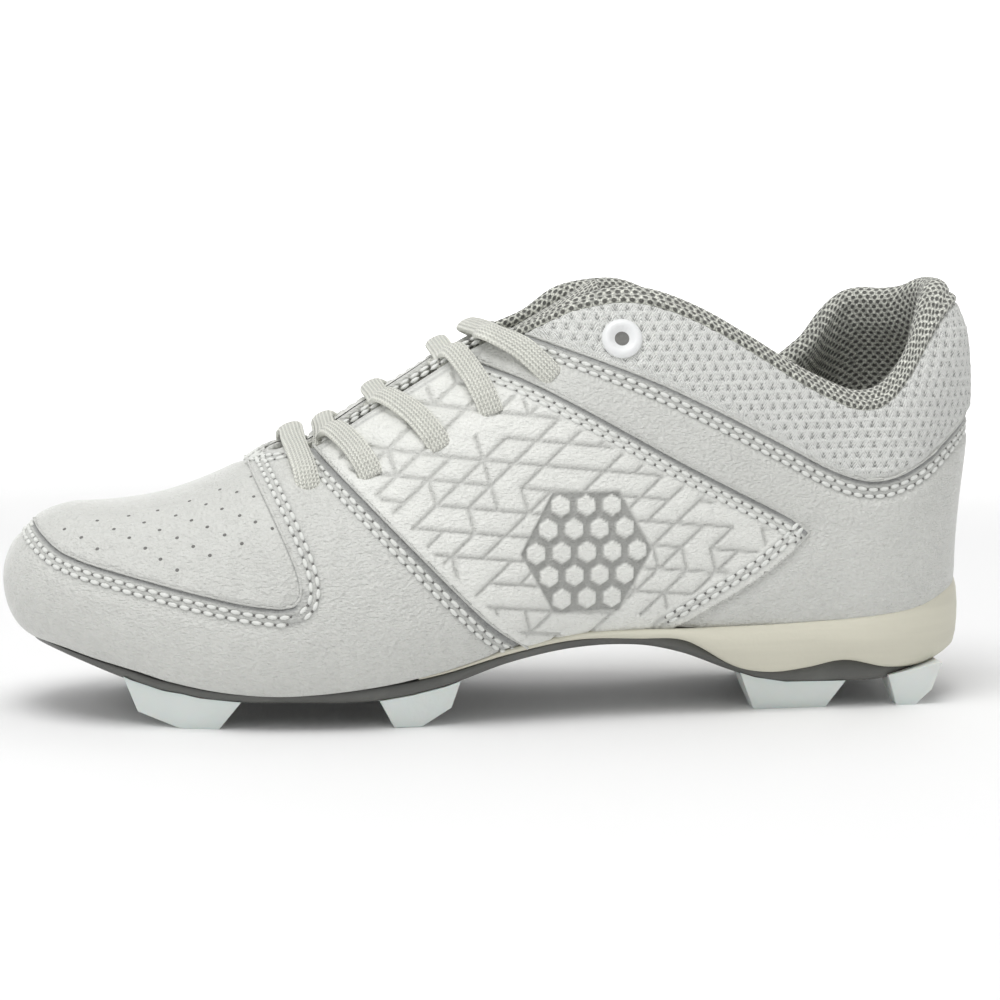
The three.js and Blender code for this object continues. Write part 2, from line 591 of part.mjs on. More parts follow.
// How far up a wall line a height is reached, above the widest level
function upAt(along, z) {
  let low = TUCK_SHARE;
  let high = 1;
  for (let k = 0; k < 20; k += 1) {
    const middle = (low + high) / 2;
    if (wallPoint(along, middle).z < z) low = middle;
    else high = middle;
  }
  return (low + high) / 2;
}
function tongueRing(x, crown) {
  const hold = clamp(x, TONGUE_SEEN, TONGUE_FREE);
  const rise = crown - look(TONGUE_LINE, "x", "crown", hold);
  const reach = clamp((TONGUE_REACH - x) / (TONGUE_REACH - TONGUE_FREE), 0, 1);
  const round = mix(0.42, 1, Math.sqrt(1 - (1 - reach) ** 2));
  const narrow = x > hold ? round : 1 - 0.42 * smooth(TONGUE_SEEN - x, 0, 15);
  const inside = (side, up) => {
    const depth = wallThickness(shareAt(hold), up) + 2 * CLEARANCE + 0.9;
    return offPoint(alongAt(hold, side), up, -depth);
  };
  const left = inside(-1, 0.9);
  const right = inside(1, 0.9);
  const middleY = (left.y + right.y) / 2;
  const half = ((right.y - left.y) / 2) * narrow;
  const foot = (left.z + right.z) / 2 + rise;
  const upper = Array.from({ length: TONGUE_POINTS + 1 }, (_, i) => {
    const t = (2 * i) / TONGUE_POINTS - 1;
    return new THREE.Vector3(x, middleY + half * t, mix(crown, foot, Math.abs(t) ** 2));
  });
  const lower = upper.map((p, i) => {
    const before = upper[Math.max(0, i - 1)];
    const after = upper[Math.min(TONGUE_POINTS, i + 1)];
    const across = after.clone().sub(before).normalize();
    const down = new THREE.Vector3(0, across.z, -across.y);
    const share = Math.sin((Math.PI * (i + 0.6)) / (TONGUE_POINTS + 1.2));
    return p.clone().addScaledVector(down, TONGUE_THICK * mix(0.35, 1, share));
  });
  return [...upper, ...lower.reverse()];
}
function tongueSolid() {
  const rings = TONGUE_LINE.map((row) => tongueRing(row.x, row.crown));
  return sweep(rings.map((ring) => ring.reverse()));
}

// Laces: round-edged straps. Each crossing starts inside the lace edge at one row of holes, turns over
// the opposite edge and runs down and back to the hole of the next row.
const LACE_WIDTH = 6.6;
const LACE_THICK = 3.4;
// A row's hole, and where its lace turns over the lace edge
const LACE_ROWS = [
  { x: -55.2, z: 64.4, turn: -57.8, arch: 0.6 },
  { x: -38.7, z: 68.6, turn: -45.8, arch: 0.3 },
  { x: -20.3, z: 76.3, turn: -31.8, arch: 0.3 },
  { x: -5.9, z: 85.3, turn: -12.8, arch: 0.9 },
  { x: 11, z: 94.6, turn: -3.6, arch: 1.6 },
].map((row) => ({ ...row, x: drawnX(row.x), z: drawnZ(row.z), turn: drawnX(row.turn) }));
const LACE_CORNERS = 8;
function strap(path, faceUp) {
  const curve = new THREE.CatmullRomCurve3(path, false, "centripetal");
  const steps = 8;
  const rings = [];
  for (let i = 0; i <= steps; i += 1) {
    const at = curve.getPointAt(i / steps);
    const ahead = curve.getTangentAt(i / steps);
    const across = new THREE.Vector3().crossVectors(ahead, faceUp(i / steps)).normalize();
    const out = new THREE.Vector3().crossVectors(ahead, across).normalize();
    const ring = Array.from({ length: LACE_CORNERS }, (_, k) => {
      const turn = (2 * Math.PI * (k + 0.5)) / LACE_CORNERS;
      const p = at.clone().addScaledVector(across, (LACE_WIDTH / 2) * Math.cos(turn) * 1.05);
      return p.addScaledVector(out, (LACE_THICK / 2) * Math.sin(turn) * 1.05);
    });
    rings.push(ring);
  }
  return sweep(rings);
}
const LACE_LIFT = CLEARANCE + LACE_THICK / 2 + 0.35;
function laceSide(row, side) {
  const hole = alongAt(row.x, side);
  const turn = alongAt(row.turn, side);
  const up = upAt(hole, row.z);
  const point = (share, lift) => offPoint(mix(turn, hole, share), mix(1, up, share), LACE_LIFT + lift);
  return [point(0, row.arch), point(0.5, row.arch), point(1, 0)];
}
function lacePath(fromRow, toRow, fromSide) {
  const from = LACE_ROWS[fromRow];
  const to = LACE_ROWS[toRow];
  const start = offPoint(alongAt(from.x + 4.5, fromSide), 1, LACE_LIFT);
  start.y -= fromSide * 4.2;
  const middleX = (from.x + 4.5 + to.turn) / 2;
  const crown = look(TONGUE_LINE, "x", "crown", middleX) + LACE_THICK / 2 + 1.4;
  return [start, new THREE.Vector3(middleX, 0, crown), ...laceSide(to, -fromSide)];
}
function crossSolid(row) {
  const legs = [-1, 1].map((side) => {
    const path = lacePath(row, row + 1, side);
    return strap(path, (share) => new THREE.Vector3(-0.4, side * (0.3 - 1.3 * share), 1).normalize());
  });
  return legs[0].add(legs[1]);
}
function barSolid() {
  const left = laceSide(LACE_ROWS[0], -1).reverse();
  const right = laceSide(LACE_ROWS[0], 1);
  const middle = left[2].clone().add(right[0]).multiplyScalar(0.5);
  middle.z += 1.6;
  return strap([...left, middle, ...right], (share) => new THREE.Vector3(-0.3, (share - 0.5) * 1.4, 1).normalize());
}

// The collar's unused eyelet: a ring round a hole through the padded wall
const RING = { x: drawnX(30.9), z: drawnZ(103.8), outer: 6.3, hole: 3, rise: 1.5, segments: 16 };
function ringFrame(side) {
  const along = alongAt(RING.x, side);
  const up = upAt(along, RING.z);
  const centre = wallPoint(along, up);
  const axis = wallNormal(along, up);
  const frame = new THREE.Matrix4();
  const right = new THREE.Vector3(1, 0, 0).projectOnPlane(axis).normalize();
  frame.makeBasis(right, new THREE.Vector3().crossVectors(axis, right), axis);
  return frame.setPosition(centre);
}
function turned(profile, side) {
  const frame = ringFrame(side);
  const loops = profile.map(([radius, height]) =>
    Array.from({ length: RING.segments }, (_, i) => {
      const turn = (2 * Math.PI * i) / RING.segments;
      const p = new THREE.Vector3(radius * Math.cos(turn), radius * Math.sin(turn), height);
      return p.applyMatrix4(frame);
    }),
  );
  return loops;
}
function ringSolid(side) {
  const base = 0.75;
  const profile = [
    [RING.outer, base],
    [RING.outer - 0.3, base + RING.rise * 0.7],
    [(RING.outer + RING.hole) / 2 + 0.4, base + RING.rise],
    [RING.hole + 0.5, base + RING.rise * 0.8],
    [RING.hole, base],
  ];
  const loops = turned(profile, side);
  return meshOf(loops.flat(), bandFaces(loops.length, RING.segments, true));
}
function ringHole(side) {
  return sweep(turned([[RING.hole + 0.2, -14], [RING.hole + 0.2, 6]], side));
}

// Looks
const LOOKS = {
  leather: { color: 0xe9ebec, roughness: 0.45 },
  foam: { color: 0xe4e0cf, roughness: 0.7 },
  plate: { color: 0x77787a, roughness: 0.5 },
  stud: { color: 0xdfe6ec, roughness: 0.4 },
  lining: { color: 0x7c7d7b, roughness: 0.9 },
  lace: { color: 0xe6e4da, roughness: 0.85 },
  ring: { color: 0xeeefee, roughness: 0.35 },
};
const group = new THREE.Group();
function place(name, solid, look) {
  const mesh = solid.getMesh();
  let geometry = new THREE.BufferGeometry();
  const stride = mesh.numProp;
  const positions = new Float32Array((mesh.vertProperties.length / stride) * 3);
  for (let i = 0; i < positions.length / 3; i += 1) {
    positions.set(mesh.vertProperties.subarray(i * stride, i * stride + 3), i * 3);
  }
  geometry.setAttribute("position", new THREE.BufferAttribute(positions, 3));
  geometry.setIndex(new THREE.BufferAttribute(new Uint32Array(mesh.triVerts), 1));
  geometry = mergeVertices(geometry, 1e-3);
  geometry.computeVertexNormals();
  const part = new THREE.Mesh(geometry, new THREE.MeshStandardMaterial(LOOKS[look]));
  part.name = name;
  group.add(part);
}

const wallRoom = upperSolid(CLEARANCE);
const wingRoom = overlaySolid(WING_EDGE, 0.29);
const saddleRoom = overlaySolid(SADDLE_EDGE, 0.29);
const tongue = clearOf(tongueSolid(), [wallRoom]);
place("upper", upperSolid(0).subtract(ringHole(-1)).subtract(ringHole(1)), "leather");
place("toe_wing", overlaySolid(WING_EDGE, 0), "leather");
place("saddle_counter", overlaySolid(SADDLE_EDGE, 0), "leather");
place("outsole", plateSolid(0, 0), "plate");
place("midsole", foamSolid(), "foam");
place("insole", clearOf(insoleSolid(), [wallRoom]), "lining");
place("tongue", tongue, "lining");
STUDS.forEach((stud) => {
  place(`stud_${stud.name}_lateral`, studSolid(stud, -1), "stud");
  place(`stud_${stud.name}_medial`, studSolid(stud, 1), "stud");
});
const laceRooms = [wallRoom, wingRoom, saddleRoom, tongue.translate([0, 0, CLEARANCE]), tongue];
function placeLace(name, solid) {
  const lace = clearOf(solid, laceRooms);
  const shifts = [[0, 0, 0], [0.4, 0, 0], [0, 0, 0.3], [0, 0, -0.3], [0.3, 0, 0.3]];
  laceRooms.push(...shifts.map((shift) => lace.translate(shift)));
  place(name, lace, "lace");
}
placeLace("lace_bar_1", barSolid());
[0, 1, 2, 3].forEach((row) => placeLace(`lace_cross_${row + 1}`, crossSolid(row)));
place("collar_eyelet_lateral", ringSolid(-1), "ring");
place("collar_eyelet_medial", ringSolid(1), "ring");

// The origin goes to the middle of the shoe at floor level
const bounds = new THREE.Box3().setFromObject(group);
const middle = bounds.getCenter(new THREE.Vector3());
group.children.forEach((part) => part.geometry.translate(-middle.x, -middle.y, -bounds.min.z));

export { wallPoint, wallNormal };
export default group;
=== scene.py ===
"""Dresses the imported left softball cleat: leather panels, knit collar, lining, laces, stitches and sole."""

import math
from contextlib import contextmanager

import bmesh
import bpy
import numpy as np
from mathutils import Matrix, Vector
from mathutils.kdtree import KDTree


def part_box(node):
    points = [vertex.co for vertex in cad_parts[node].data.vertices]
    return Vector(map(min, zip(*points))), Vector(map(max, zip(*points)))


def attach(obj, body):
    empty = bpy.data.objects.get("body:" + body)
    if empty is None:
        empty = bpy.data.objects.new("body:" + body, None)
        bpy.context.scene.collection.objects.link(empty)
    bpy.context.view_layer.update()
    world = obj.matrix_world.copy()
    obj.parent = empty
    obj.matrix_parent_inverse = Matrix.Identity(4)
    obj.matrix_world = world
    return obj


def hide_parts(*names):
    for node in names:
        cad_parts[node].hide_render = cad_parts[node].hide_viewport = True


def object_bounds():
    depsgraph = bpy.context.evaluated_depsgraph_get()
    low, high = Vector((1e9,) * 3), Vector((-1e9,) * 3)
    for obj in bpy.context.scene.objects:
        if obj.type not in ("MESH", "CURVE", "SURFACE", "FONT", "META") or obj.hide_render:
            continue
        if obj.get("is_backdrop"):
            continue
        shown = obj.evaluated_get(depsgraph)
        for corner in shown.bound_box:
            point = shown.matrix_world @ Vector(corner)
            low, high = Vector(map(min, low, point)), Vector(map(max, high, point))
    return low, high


bl_info = {
    "name": "Softball Cleat",
    "version": (1, 0, 0),
    "blender": (4, 5, 0),
    "location": "View3D > Sidebar > Cleat",
    "description": "Builds the panels, knit, lining, laces, stitches, sole and stage of a softball cleat",
    "category": "Object",
}

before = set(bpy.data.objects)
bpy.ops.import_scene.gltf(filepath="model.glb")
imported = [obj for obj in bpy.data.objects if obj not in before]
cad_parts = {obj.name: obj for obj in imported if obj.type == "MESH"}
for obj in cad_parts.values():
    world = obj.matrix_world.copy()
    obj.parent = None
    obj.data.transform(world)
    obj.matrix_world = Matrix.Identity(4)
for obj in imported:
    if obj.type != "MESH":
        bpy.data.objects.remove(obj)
CAD_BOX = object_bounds()
MM = 0.001
SIDES = ((-1, "lateral"), (1, "medial"))

# The last's sizes, in millimetres, the same as the solids'
LENGTH = 274
BALL_WIDTH = 96
HEEL_WIDTH = 66
TOE_HEIGHT = 56
VAMP_HEIGHT = 74
COLLAR_HEIGHT = 119.5
TOE_DEPTH = 22
TOE_SWING = 3
STUD_HEIGHT = 7.5
SOLE_STACK = 17.5
BULGE_RISE = 14
UPPER_WALL = 2.4
COLLAR_PAD = 8
THROAT_WIDTH = 31
TOE_ROUNDNESS = 2.1
HEEL_ROUNDNESS = 2.15
TUCK_ANGLE = math.radians(70)
TUCK_SHARE = 0.2
THROAT_AT = 0.285
HEEL_AT = 0.844
LATERAL_BALL_AT = 0.37
MEDIAL_BALL_AT = 0.312
TOE_TURN = 0.16
HEEL_TURN = 0.4
TOE_TUCK = 9
SIDE_TUCK = 5
HEEL_TUCK = 2.5
THROAT_NOSE = 7


def table(columns, rows):
    """A table of numbers with one named column for each value."""
    return dict(zip(columns.split(), np.array(rows, float).T))


PLAN = table("at lateral medial heelward", [
    (0.312, 0.998, 0.99, 0), (0.37, 1.01, 0.958, 0), (0.44, 1.03, 0.9, 0.15), (0.52, 1.035, 0.81, 0.38),
    (0.6, 1.03, 0.785, 0.62), (0.7, 1.03, 0.84, 0.85), (0.78, 1.04, 0.94, 0.97), (0.844, 1.018, 0.982, 1),
])
SOLE = table("at under plate bite seat", [
    (0, 0.76, 0.84, 0.86, 0.86), (0.036, 0.68, 0.78, 0.8, 0.8), (0.07, 0.53, 0.65, 0.67, 0.67),
    (0.116, 0.3, 0.48, 0.5, 0.5), (0.152, 0.15, 0.33, 0.35, 0.35), (0.21, 0.02, 0.18, 0.2, 0.2),
    (0.275, 0, 0.14, 0.16, 0.16), (0.355, 0.01, 0.24, 0.28, 0.28), (0.422, 0.18, 0.39, 0.49, 0.49),
    (0.493, 0.52, 0.67, 0.8, 0.8), (0.56, 0.7, 0.85, 0.98, 0.98), (0.627, 0.7, 0.83, 1, 1),
    (0.675, 0.54, 0.77, 0.99, 1), (0.728, 0.22, 0.33, 1, 1), (0.765, 0.05, 0.22, 1.01, 1),
    (0.804, 0, 0.27, 1.03, 1), (0.845, 0, 0.37, 1.06, 1), (0.89, 0.01, 0.23, 1.13, 1),
    (0.93, 0.12, 0.22, 1.23, 1), (0.965, 0.25, 0.33, 1.42, 1), (1, 0.32, 0.4, 1.56, 1),
])
VAMP_RISE = table("at rise", [(0.08, 0), (0.12, 0.03), (0.16, 0.13), (0.2, 0.33), (0.24, 0.61), (0.285, 1)])
TOPLINE = table("at wide lateral medial lateral_up medial_up", [
    (0.285, 0, 0.62, 0.62, -0.01, -0.01), (0.32, 0, 0.9, 0.86, 0.05, 0.05),
    (0.365, 0, 1, 0.93, 0.22, 0.22), (0.414, 0, 1.03, 0.96, 0.405, 0.405),
    (0.457, 0, 1.06, 1, 0.57, 0.57), (0.5, 0.1, 1, 0.95, 0.7, 0.7), (0.535, 0.3, 0.85, 0.82, 0.81, 0.8),
    (0.57, 0.6, 0.77, 0.76, 0.945, 0.95), (0.61, 0.9, 0.71, 0.7, 1.01, 1), (0.65, 1, 0.72, 0.7, 0.99, 0.985),
    (0.7, 1, 0.76, 0.74, 0.875, 0.84), (0.75, 1, 0.79, 0.77, 0.705, 0.62), (0.8, 1, 0.81, 0.79, 0.52, 0.46),
    (0.845, 1, 0.82, 0.8, 0.39, 0.62), (0.87, 1, 0.82, 0.8, 0.36, 0.79), (0.895, 1, 0.82, 0.8, 0.4, 0.9),
    (0.922, 1, 0.82, 0.8, 0.55, 0.935), (0.947, 1, 0.82, 0.8, 0.76, 0.93),
    (0.972, 1, 0.82, 0.8, 0.93, 0.945), (1, 1, 0.82, 0.8, 1, 1),
])
FULLNESS = table("at power", [
    (0, 2.2), (0.16, 2.25), (0.285, 2), (0.42, 1.8), (0.52, 1.75), (0.62, 2), (0.75, 2.4), (1, 2.5),
])
HEEL_BACK = table("at inset", [(0, 0.09), (0.2, 0.07), (0.45, 0.02), (0.65, 0), (0.85, 0.03), (1, 0.12)])

TOE_X = -LENGTH / 2


def x_at(share):
    return TOE_X + share * LENGTH


def share_at(x):
    return (x - TOE_X) / LENGTH


THROAT_X = x_at(THROAT_AT)
HEEL_X = x_at(HEEL_AT)
HEEL_DEPTH = LENGTH / 2 - HEEL_X


def mix(a, b, t):
    return a + (b - a) * t


def smooth(value, low, high):
    """0 below low, 1 above high, with an eased rise between."""
    t = np.clip((value - low) / (high - low), 0, 1)
    return t * t * (3 - 2 * t)


def look(rows, column, at):
    """A smooth value of one column of a table, between and past its rows."""
    keys, values = rows["at"], rows[column]
    slopes = np.zeros_like(values)
    slopes[1:-1] = (values[2:] - values[:-2]) / (keys[2:] - keys[:-2])
    at = np.clip(at, keys[0], keys[-1])
    i = np.clip(np.searchsorted(keys, at, side="left") - 1, 0, len(keys) - 2)
    span = keys[i + 1] - keys[i]
    u = (at - keys[i]) / span
    return (
        values[i] * (2 * u**3 - 3 * u**2 + 1)
        + slopes[i] * span * (u**3 - 2 * u**2 + u)
        + values[i + 1] * (3 * u**2 - 2 * u**3)
        + slopes[i + 1] * span * (u**3 - u**2)
    )


def super_arc(u, power):
    return np.maximum(0, 1 - np.minimum(1, np.abs(u)) ** power) ** (1 / power)


def pick(side, lateral, medial):
    return np.where(side < 0, lateral, medial)


def outline_half(share, side):
    width = mix(BALL_WIDTH, HEEL_WIDTH, look(PLAN, "heelward", share)) / 2
    return width * pick(side, look(PLAN, "lateral", share), look(PLAN, "medial", share))


def outline_y(x, side):
    at = share_at(x)
    ball_at = pick(side, LATERAL_BALL_AT, MEDIAL_BALL_AT)
    reach = side * outline_half(ball_at, side) - TOE_SWING
    front = TOE_SWING + reach * super_arc((ball_at - at) / ball_at, TOE_ROUNDNESS)
    return np.where(at >= ball_at, side * outline_half(at, side), front)


def sole_z(at, column):
    return STUD_HEIGHT + SOLE_STACK * look(SOLE, column, at)


def bulge_z(at):
    return sole_z(at, "seat") + BULGE_RISE


def wall_thickness(at, up):
    return mix(UPPER_WALL, COLLAR_PAD, smooth(at, 0.5, 0.6) * smooth(up, 0.55, 0.92))


def top_edge(at, side):
    """Distance out and height of the wall's top edge."""
    width = mix(THROAT_WIDTH, HEEL_WIDTH, look(TOPLINE, "wide", at)) / 2
    y = side * width * pick(side, look(TOPLINE, "lateral", at), look(TOPLINE, "medial", at))
    climb = pick(side, look(TOPLINE, "lateral_up", at), look(TOPLINE, "medial_up", at))
    return y, mix(VAMP_HEIGHT, COLLAR_HEIGHT, climb) - wall_thickness(at, 1) / 2


def ridge_z(x, side):
    at = share_at(x)
    tip = bulge_z(0)
    toe_end = TOE_X + TOE_DEPTH
    toe = tip + (TOE_HEIGHT - tip) * super_arc((toe_end - x) / TOE_DEPTH, 2)
    front = np.where(x < toe_end, toe, mix(TOE_HEIGHT, VAMP_HEIGHT, look(VAMP_RISE, "rise", at)))
    edge_y, edge_z = top_edge(at, side)
    half = np.maximum(1, np.abs(outline_y(x, side)))
    arc = super_arc(edge_y / half, look(FULLNESS, "power", at))
    back = bulge_z(at) + (edge_z - bulge_z(at)) / np.maximum(arc, 0.05)
    return np.where(x <= THROAT_X, front, mix(front, back, smooth(at, THROAT_AT, THROAT_AT + 0.05)))


def section_z(x, y, side):
    at = share_at(x)
    centre = TOE_SWING * np.clip((THROAT_X - x) / (THROAT_X - TOE_X), 0, 1)
    half = np.abs(outline_y(x, side) - centre)
    u = np.where(half < 0.01, 0, (y - centre) / np.maximum(half, 0.01))
    return bulge_z(at) + (ridge_z(x, side) - bulge_z(at)) * super_arc(u, look(FULLNESS, "power", at))


def toe_line(side, f):
    """Outer end, top end and tuck of a wall line round the toe."""
    f = np.clip(f, 0, 1)
    ball_x = x_at(pick(side, LATERAL_BALL_AT, MEDIAL_BALL_AT))
    reach = ball_x - TOE_X
    full = np.arccos(((ball_x - THROAT_X) / reach) ** (TOE_ROUNDNESS / 2))
    x = ball_x - reach * np.cos(full * f) ** (2 / TOE_ROUNDNESS)
    edge, _ = top_edge(THROAT_AT + 0 * f, side)
    swing = math.pi / 2 * f
    top_x = THROAT_X - THROAT_NOSE * np.cos(swing)
    return x, outline_y(x, side), top_x, edge * np.sin(swing), mix(TOE_TUCK, SIDE_TUCK, f)


def side_line(side, turn):
    x = mix(THROAT_X, HEEL_X, np.clip((turn - TOE_TURN) / (HEEL_TURN - TOE_TURN), 0, 1))
    edge, _ = top_edge(share_at(x), side)
    return x, outline_y(x, side), x, edge, mix(SIDE_TUCK, HEEL_TUCK, smooth(turn, 0.3, HEEL_TURN))


def heel_point(side, turn, tuck, q):
    angle = math.pi / 2 * (1 - np.clip((turn - HEEL_TURN) / (0.5 - HEEL_TURN), 0, 1))
    forward = np.cos(angle) ** (2 / HEEL_ROUNDNESS)
    sideways = np.maximum(0, np.sin(angle)) ** (2 / HEEL_ROUNDNESS)
    at = share_at(HEEL_X + HEEL_DEPTH * forward)
    hip_x = HEEL_X + 0 * q
    hip_y = mix(outline_y(hip_x, side), top_edge(share_at(hip_x), side)[0], q)
    hip_low = bulge_z(share_at(hip_x))
    climb = (section_z(hip_x, hip_y, side) - hip_low) / (top_edge(share_at(hip_x), side)[1] - hip_low)
    depth = HEEL_DEPTH * (1 - look(HEEL_BACK, "inset", climb))
    tuck_in = HEEL_TUCK * (1 - np.cos(tuck))
    low = bulge_z(at)
    drop = (low - sole_z(at, "seat")) / math.sin(TUCK_ANGLE)
    z = mix(low, top_edge(at, side)[1], climb) - drop * np.sin(tuck)
    return HEEL_X + (depth - tuck_in) * forward, (np.abs(hip_y) - tuck_in) * sideways * side, z


def wall_point(along, up):
    """Points of the upper's outer face, in millimetres, before the origin is moved."""
    along, up = np.broadcast_arrays(np.asarray(along, float) % 1, np.asarray(up, float))
    side = np.where(along <= 0.5, -1.0, 1.0)
    turn = np.where(side < 0, along, 1 - along)
    tuck = np.where(up < TUCK_SHARE, TUCK_ANGLE * (1 - up / TUCK_SHARE), 0)
    climb = np.where(up > TUCK_SHARE, math.pi / 2 * (up - TUCK_SHARE) / (1 - TUCK_SHARE), 0)
    q = 1 - np.cos(climb)
    toe = toe_line(side, turn / TOE_TURN)
    flank = side_line(side, turn)
    out_x, out_y, top_x, top_y, tuck_size = (np.where(turn < TOE_TURN, a, b) for a, b in zip(toe, flank))
    x, y = mix(out_x, top_x, q), mix(out_y, top_y, q)
    run = np.hypot(top_x - out_x, top_y - out_y)
    tuck_in = tuck_size * (1 - np.cos(tuck)) / run
    at = share_at(out_x)
    drop = (bulge_z(at) - sole_z(at, "seat")) / math.sin(TUCK_ANGLE)
    z = section_z(x, y, side) - drop * np.sin(tuck)
    body = (x + (top_x - out_x) * tuck_in, y + (top_y - out_y) * tuck_in, z)
    heel = heel_point(side, turn, tuck, q)
    return np.stack([np.where(turn > HEEL_TURN, h, b) for h, b in zip(heel, body)], -1)


def unit(v):
    return v / np.maximum(1e-9, np.linalg.norm(v, axis=-1, keepdims=True))


def run_along(points, closed=False):
    """Distance run along a line of points, from 0, and back to its start if it is closed."""
    points = np.concatenate([points, points[:1]]) if closed else points
    return np.r_[0, np.cumsum(np.linalg.norm(np.diff(points, axis=0), axis=1))]


def run_across(points):
    """Distance run from the first row of each column of a grid of points."""
    steps = np.linalg.norm(np.diff(points, axis=1), axis=2)
    return np.concatenate([np.zeros((len(points), 1)), np.cumsum(steps, axis=1)], 1)


def eased(values):
    """A line of values, each made the mean of the nine round it."""
    return np.convolve(np.pad(values, 4, mode="edge"), np.ones(9) / 9, mode="valid")


def make_tree(points, keys=None):
    """A tree of points that finds the key, or else the number, of the nearest."""
    tree = KDTree(len(points))
    for key, p in zip(range(len(points)) if keys is None else keys.tolist(), points.tolist()):
        tree.insert(p, key)
    tree.balance()
    return tree


def wall_normal(along, up):
    step = 0.004
    low, high = np.maximum(0, up - step), np.minimum(1, up + step)
    round_ = wall_point(along + step, up) - wall_point(along - step, up)
    return unit(np.cross(round_, wall_point(along, high) - wall_point(along, low)))


def off_wall(along, up, lift):
    lift = np.asarray(lift)[..., None] if np.ndim(lift) else lift
    return wall_point(along, up) + wall_normal(along, up) * lift


def along_at(x, side):
    turn = TOE_TURN + (HEEL_TURN - TOE_TURN) * ((x - THROAT_X) / (HEEL_X - THROAT_X))
    return turn if side < 0 else 1 - turn


def up_at(along, z):
    """How far up a wall line a height is reached, above its widest level."""
    low, high = TUCK_SHARE, 1.0
    for _ in range(24):
        middle = (low + high) / 2
        if wall_point(along, middle)[2] < z:
            low = middle
        else:
            high = middle
    return (low + high) / 2


# The solid upper's wall lines round the last, and its levels up the wall
WALL_LINES = 72
WALL_LEVELS = (0, 0.07, 0.14, 0.21, 0.32, 0.44, 0.56, 0.68, 0.8, 0.9, 1)


def origin_shift():
    """From the last's own origin to the frame's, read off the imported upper's box."""
    corners = wall_point(np.arange(WALL_LINES)[:, None] / WALL_LINES, np.array(WALL_LEVELS)[None])
    low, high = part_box("upper")
    box_low, box_high = np.array(low) / MM, np.array(high) / MM
    own_low, own_high = corners.reshape(-1, 3).min(0), corners.reshape(-1, 3).max(0)
    shift = (box_low + box_high - own_low - own_high) / 2
    shift[2] = box_low[2] - own_low[2]
    return shift


SHIFT = origin_shift()


# Mesh helpers
def place(points):
    """Millimetres of the last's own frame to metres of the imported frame."""
    return (np.asarray(points) + SHIFT) * MM


@contextmanager
def edited(mesh):
    """The mesh as a bmesh, written back at the end."""
    bm = bmesh.new()
    bm.from_mesh(mesh)
    yield bm
    bm.to_mesh(mesh)
    bm.free()


def corner_points(mesh):
    """The number of the point at each face corner."""
    numbers = np.zeros(len(mesh.loops), np.int32)
    mesh.loops.foreach_get("vertex_index", numbers)
    return numbers


def coords_of(mesh):
    flat = np.zeros(len(mesh.vertices) * 3)
    mesh.vertices.foreach_get("co", flat)
    return flat.reshape(-1, 3)


def set_uv(mesh, uv):
    """A UV map from one pair of numbers for each point."""
    layer = mesh.uv_layers.new(name="Surface")
    layer.data.foreach_set("uv", uv[corner_points(mesh)].astype(np.float32).ravel())


def closed_up(uv, length=0):
    """A wrapped grid's UV map with one more column, a full length after the first."""
    return np.concatenate([uv, uv[:1] + np.array([length, 0])])


def grid_mesh(name, points, wrap=False, keep=None, values=None, uv=None):
    """A bmesh grid laid onto an array of points [columns, rows, 3]. keep drops faces, values are
    attributes of its points and uv its UV map. wrap closes it after the last column."""
    columns, rows = points.shape[:2]
    if wrap:
        points = np.concatenate([points, points[:1]])
        columns += 1
    mesh = bpy.data.meshes.new(name)
    bm = bmesh.new()
    bmesh.ops.create_grid(bm, x_segments=columns - 1, y_segments=rows - 1, size=1)
    bm.to_mesh(mesh)
    bm.free()
    flat = coords_of(mesh)
    i = np.rint((flat[:, 0] + 1) / 2 * (columns - 1)).astype(int)
    j = np.rint((flat[:, 1] + 1) / 2 * (rows - 1)).astype(int)
    mesh.vertices.foreach_set("co", place(points)[i, j].ravel())
    for key, value in (values or {}).items():
        value = np.concatenate([value, value[:1]]) if wrap else value
        layer = mesh.attributes.new(key, "FLOAT", "POINT")
        layer.data.foreach_set("value", value[i, j].astype(np.float32))
    if uv is not None:
        set_uv(mesh, uv[i, j])
    first = corner_points(mesh).reshape(-1, 4)
    with edited(mesh) as bm:
        if keep is not None:
            bm.faces.ensure_lookup_table()
            dropped = np.nonzero(~keep[i[first].min(1), j[first].min(1)])[0]
            bmesh.ops.delete(bm, geom=[bm.faces[k] for k in dropped], context="FACES")
        if wrap:
            bmesh.ops.remove_doubles(bm, verts=bm.verts, dist=1e-6)
    mesh.shade_smooth()
    return mesh


def link_new(name, data):
    made = bpy.data.objects.new(name, data)
    bpy.context.scene.collection.objects.link(made)
    return made


def add_piece(name, data, material, slot_name, nodes=()):
    """One named piece on the frame: its material and the nodes it replaces; the slot it stands for is not used.
    """
    piece = link_new(name, data)
    data.materials.clear()
    data.materials.append(material)
    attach(piece, "root")
    if nodes:
        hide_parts(*nodes)
    return piece


# Seams in the side view, in millimetres: x back from the middle, z up from the floor
def seam_points(rows, step=0.25):
    """A seam's control points as a smooth line with even steps."""
    points = np.array(rows, float)
    keys = run_along(points)
    curve = {"at": keys, "x": points[:, 0], "z": points[:, 1]}
    run = np.linspace(0, keys[-1], int(keys[-1] / step) + 1)
    return np.stack([look(curve, "x", run), look(curve, "z", run)], -1)


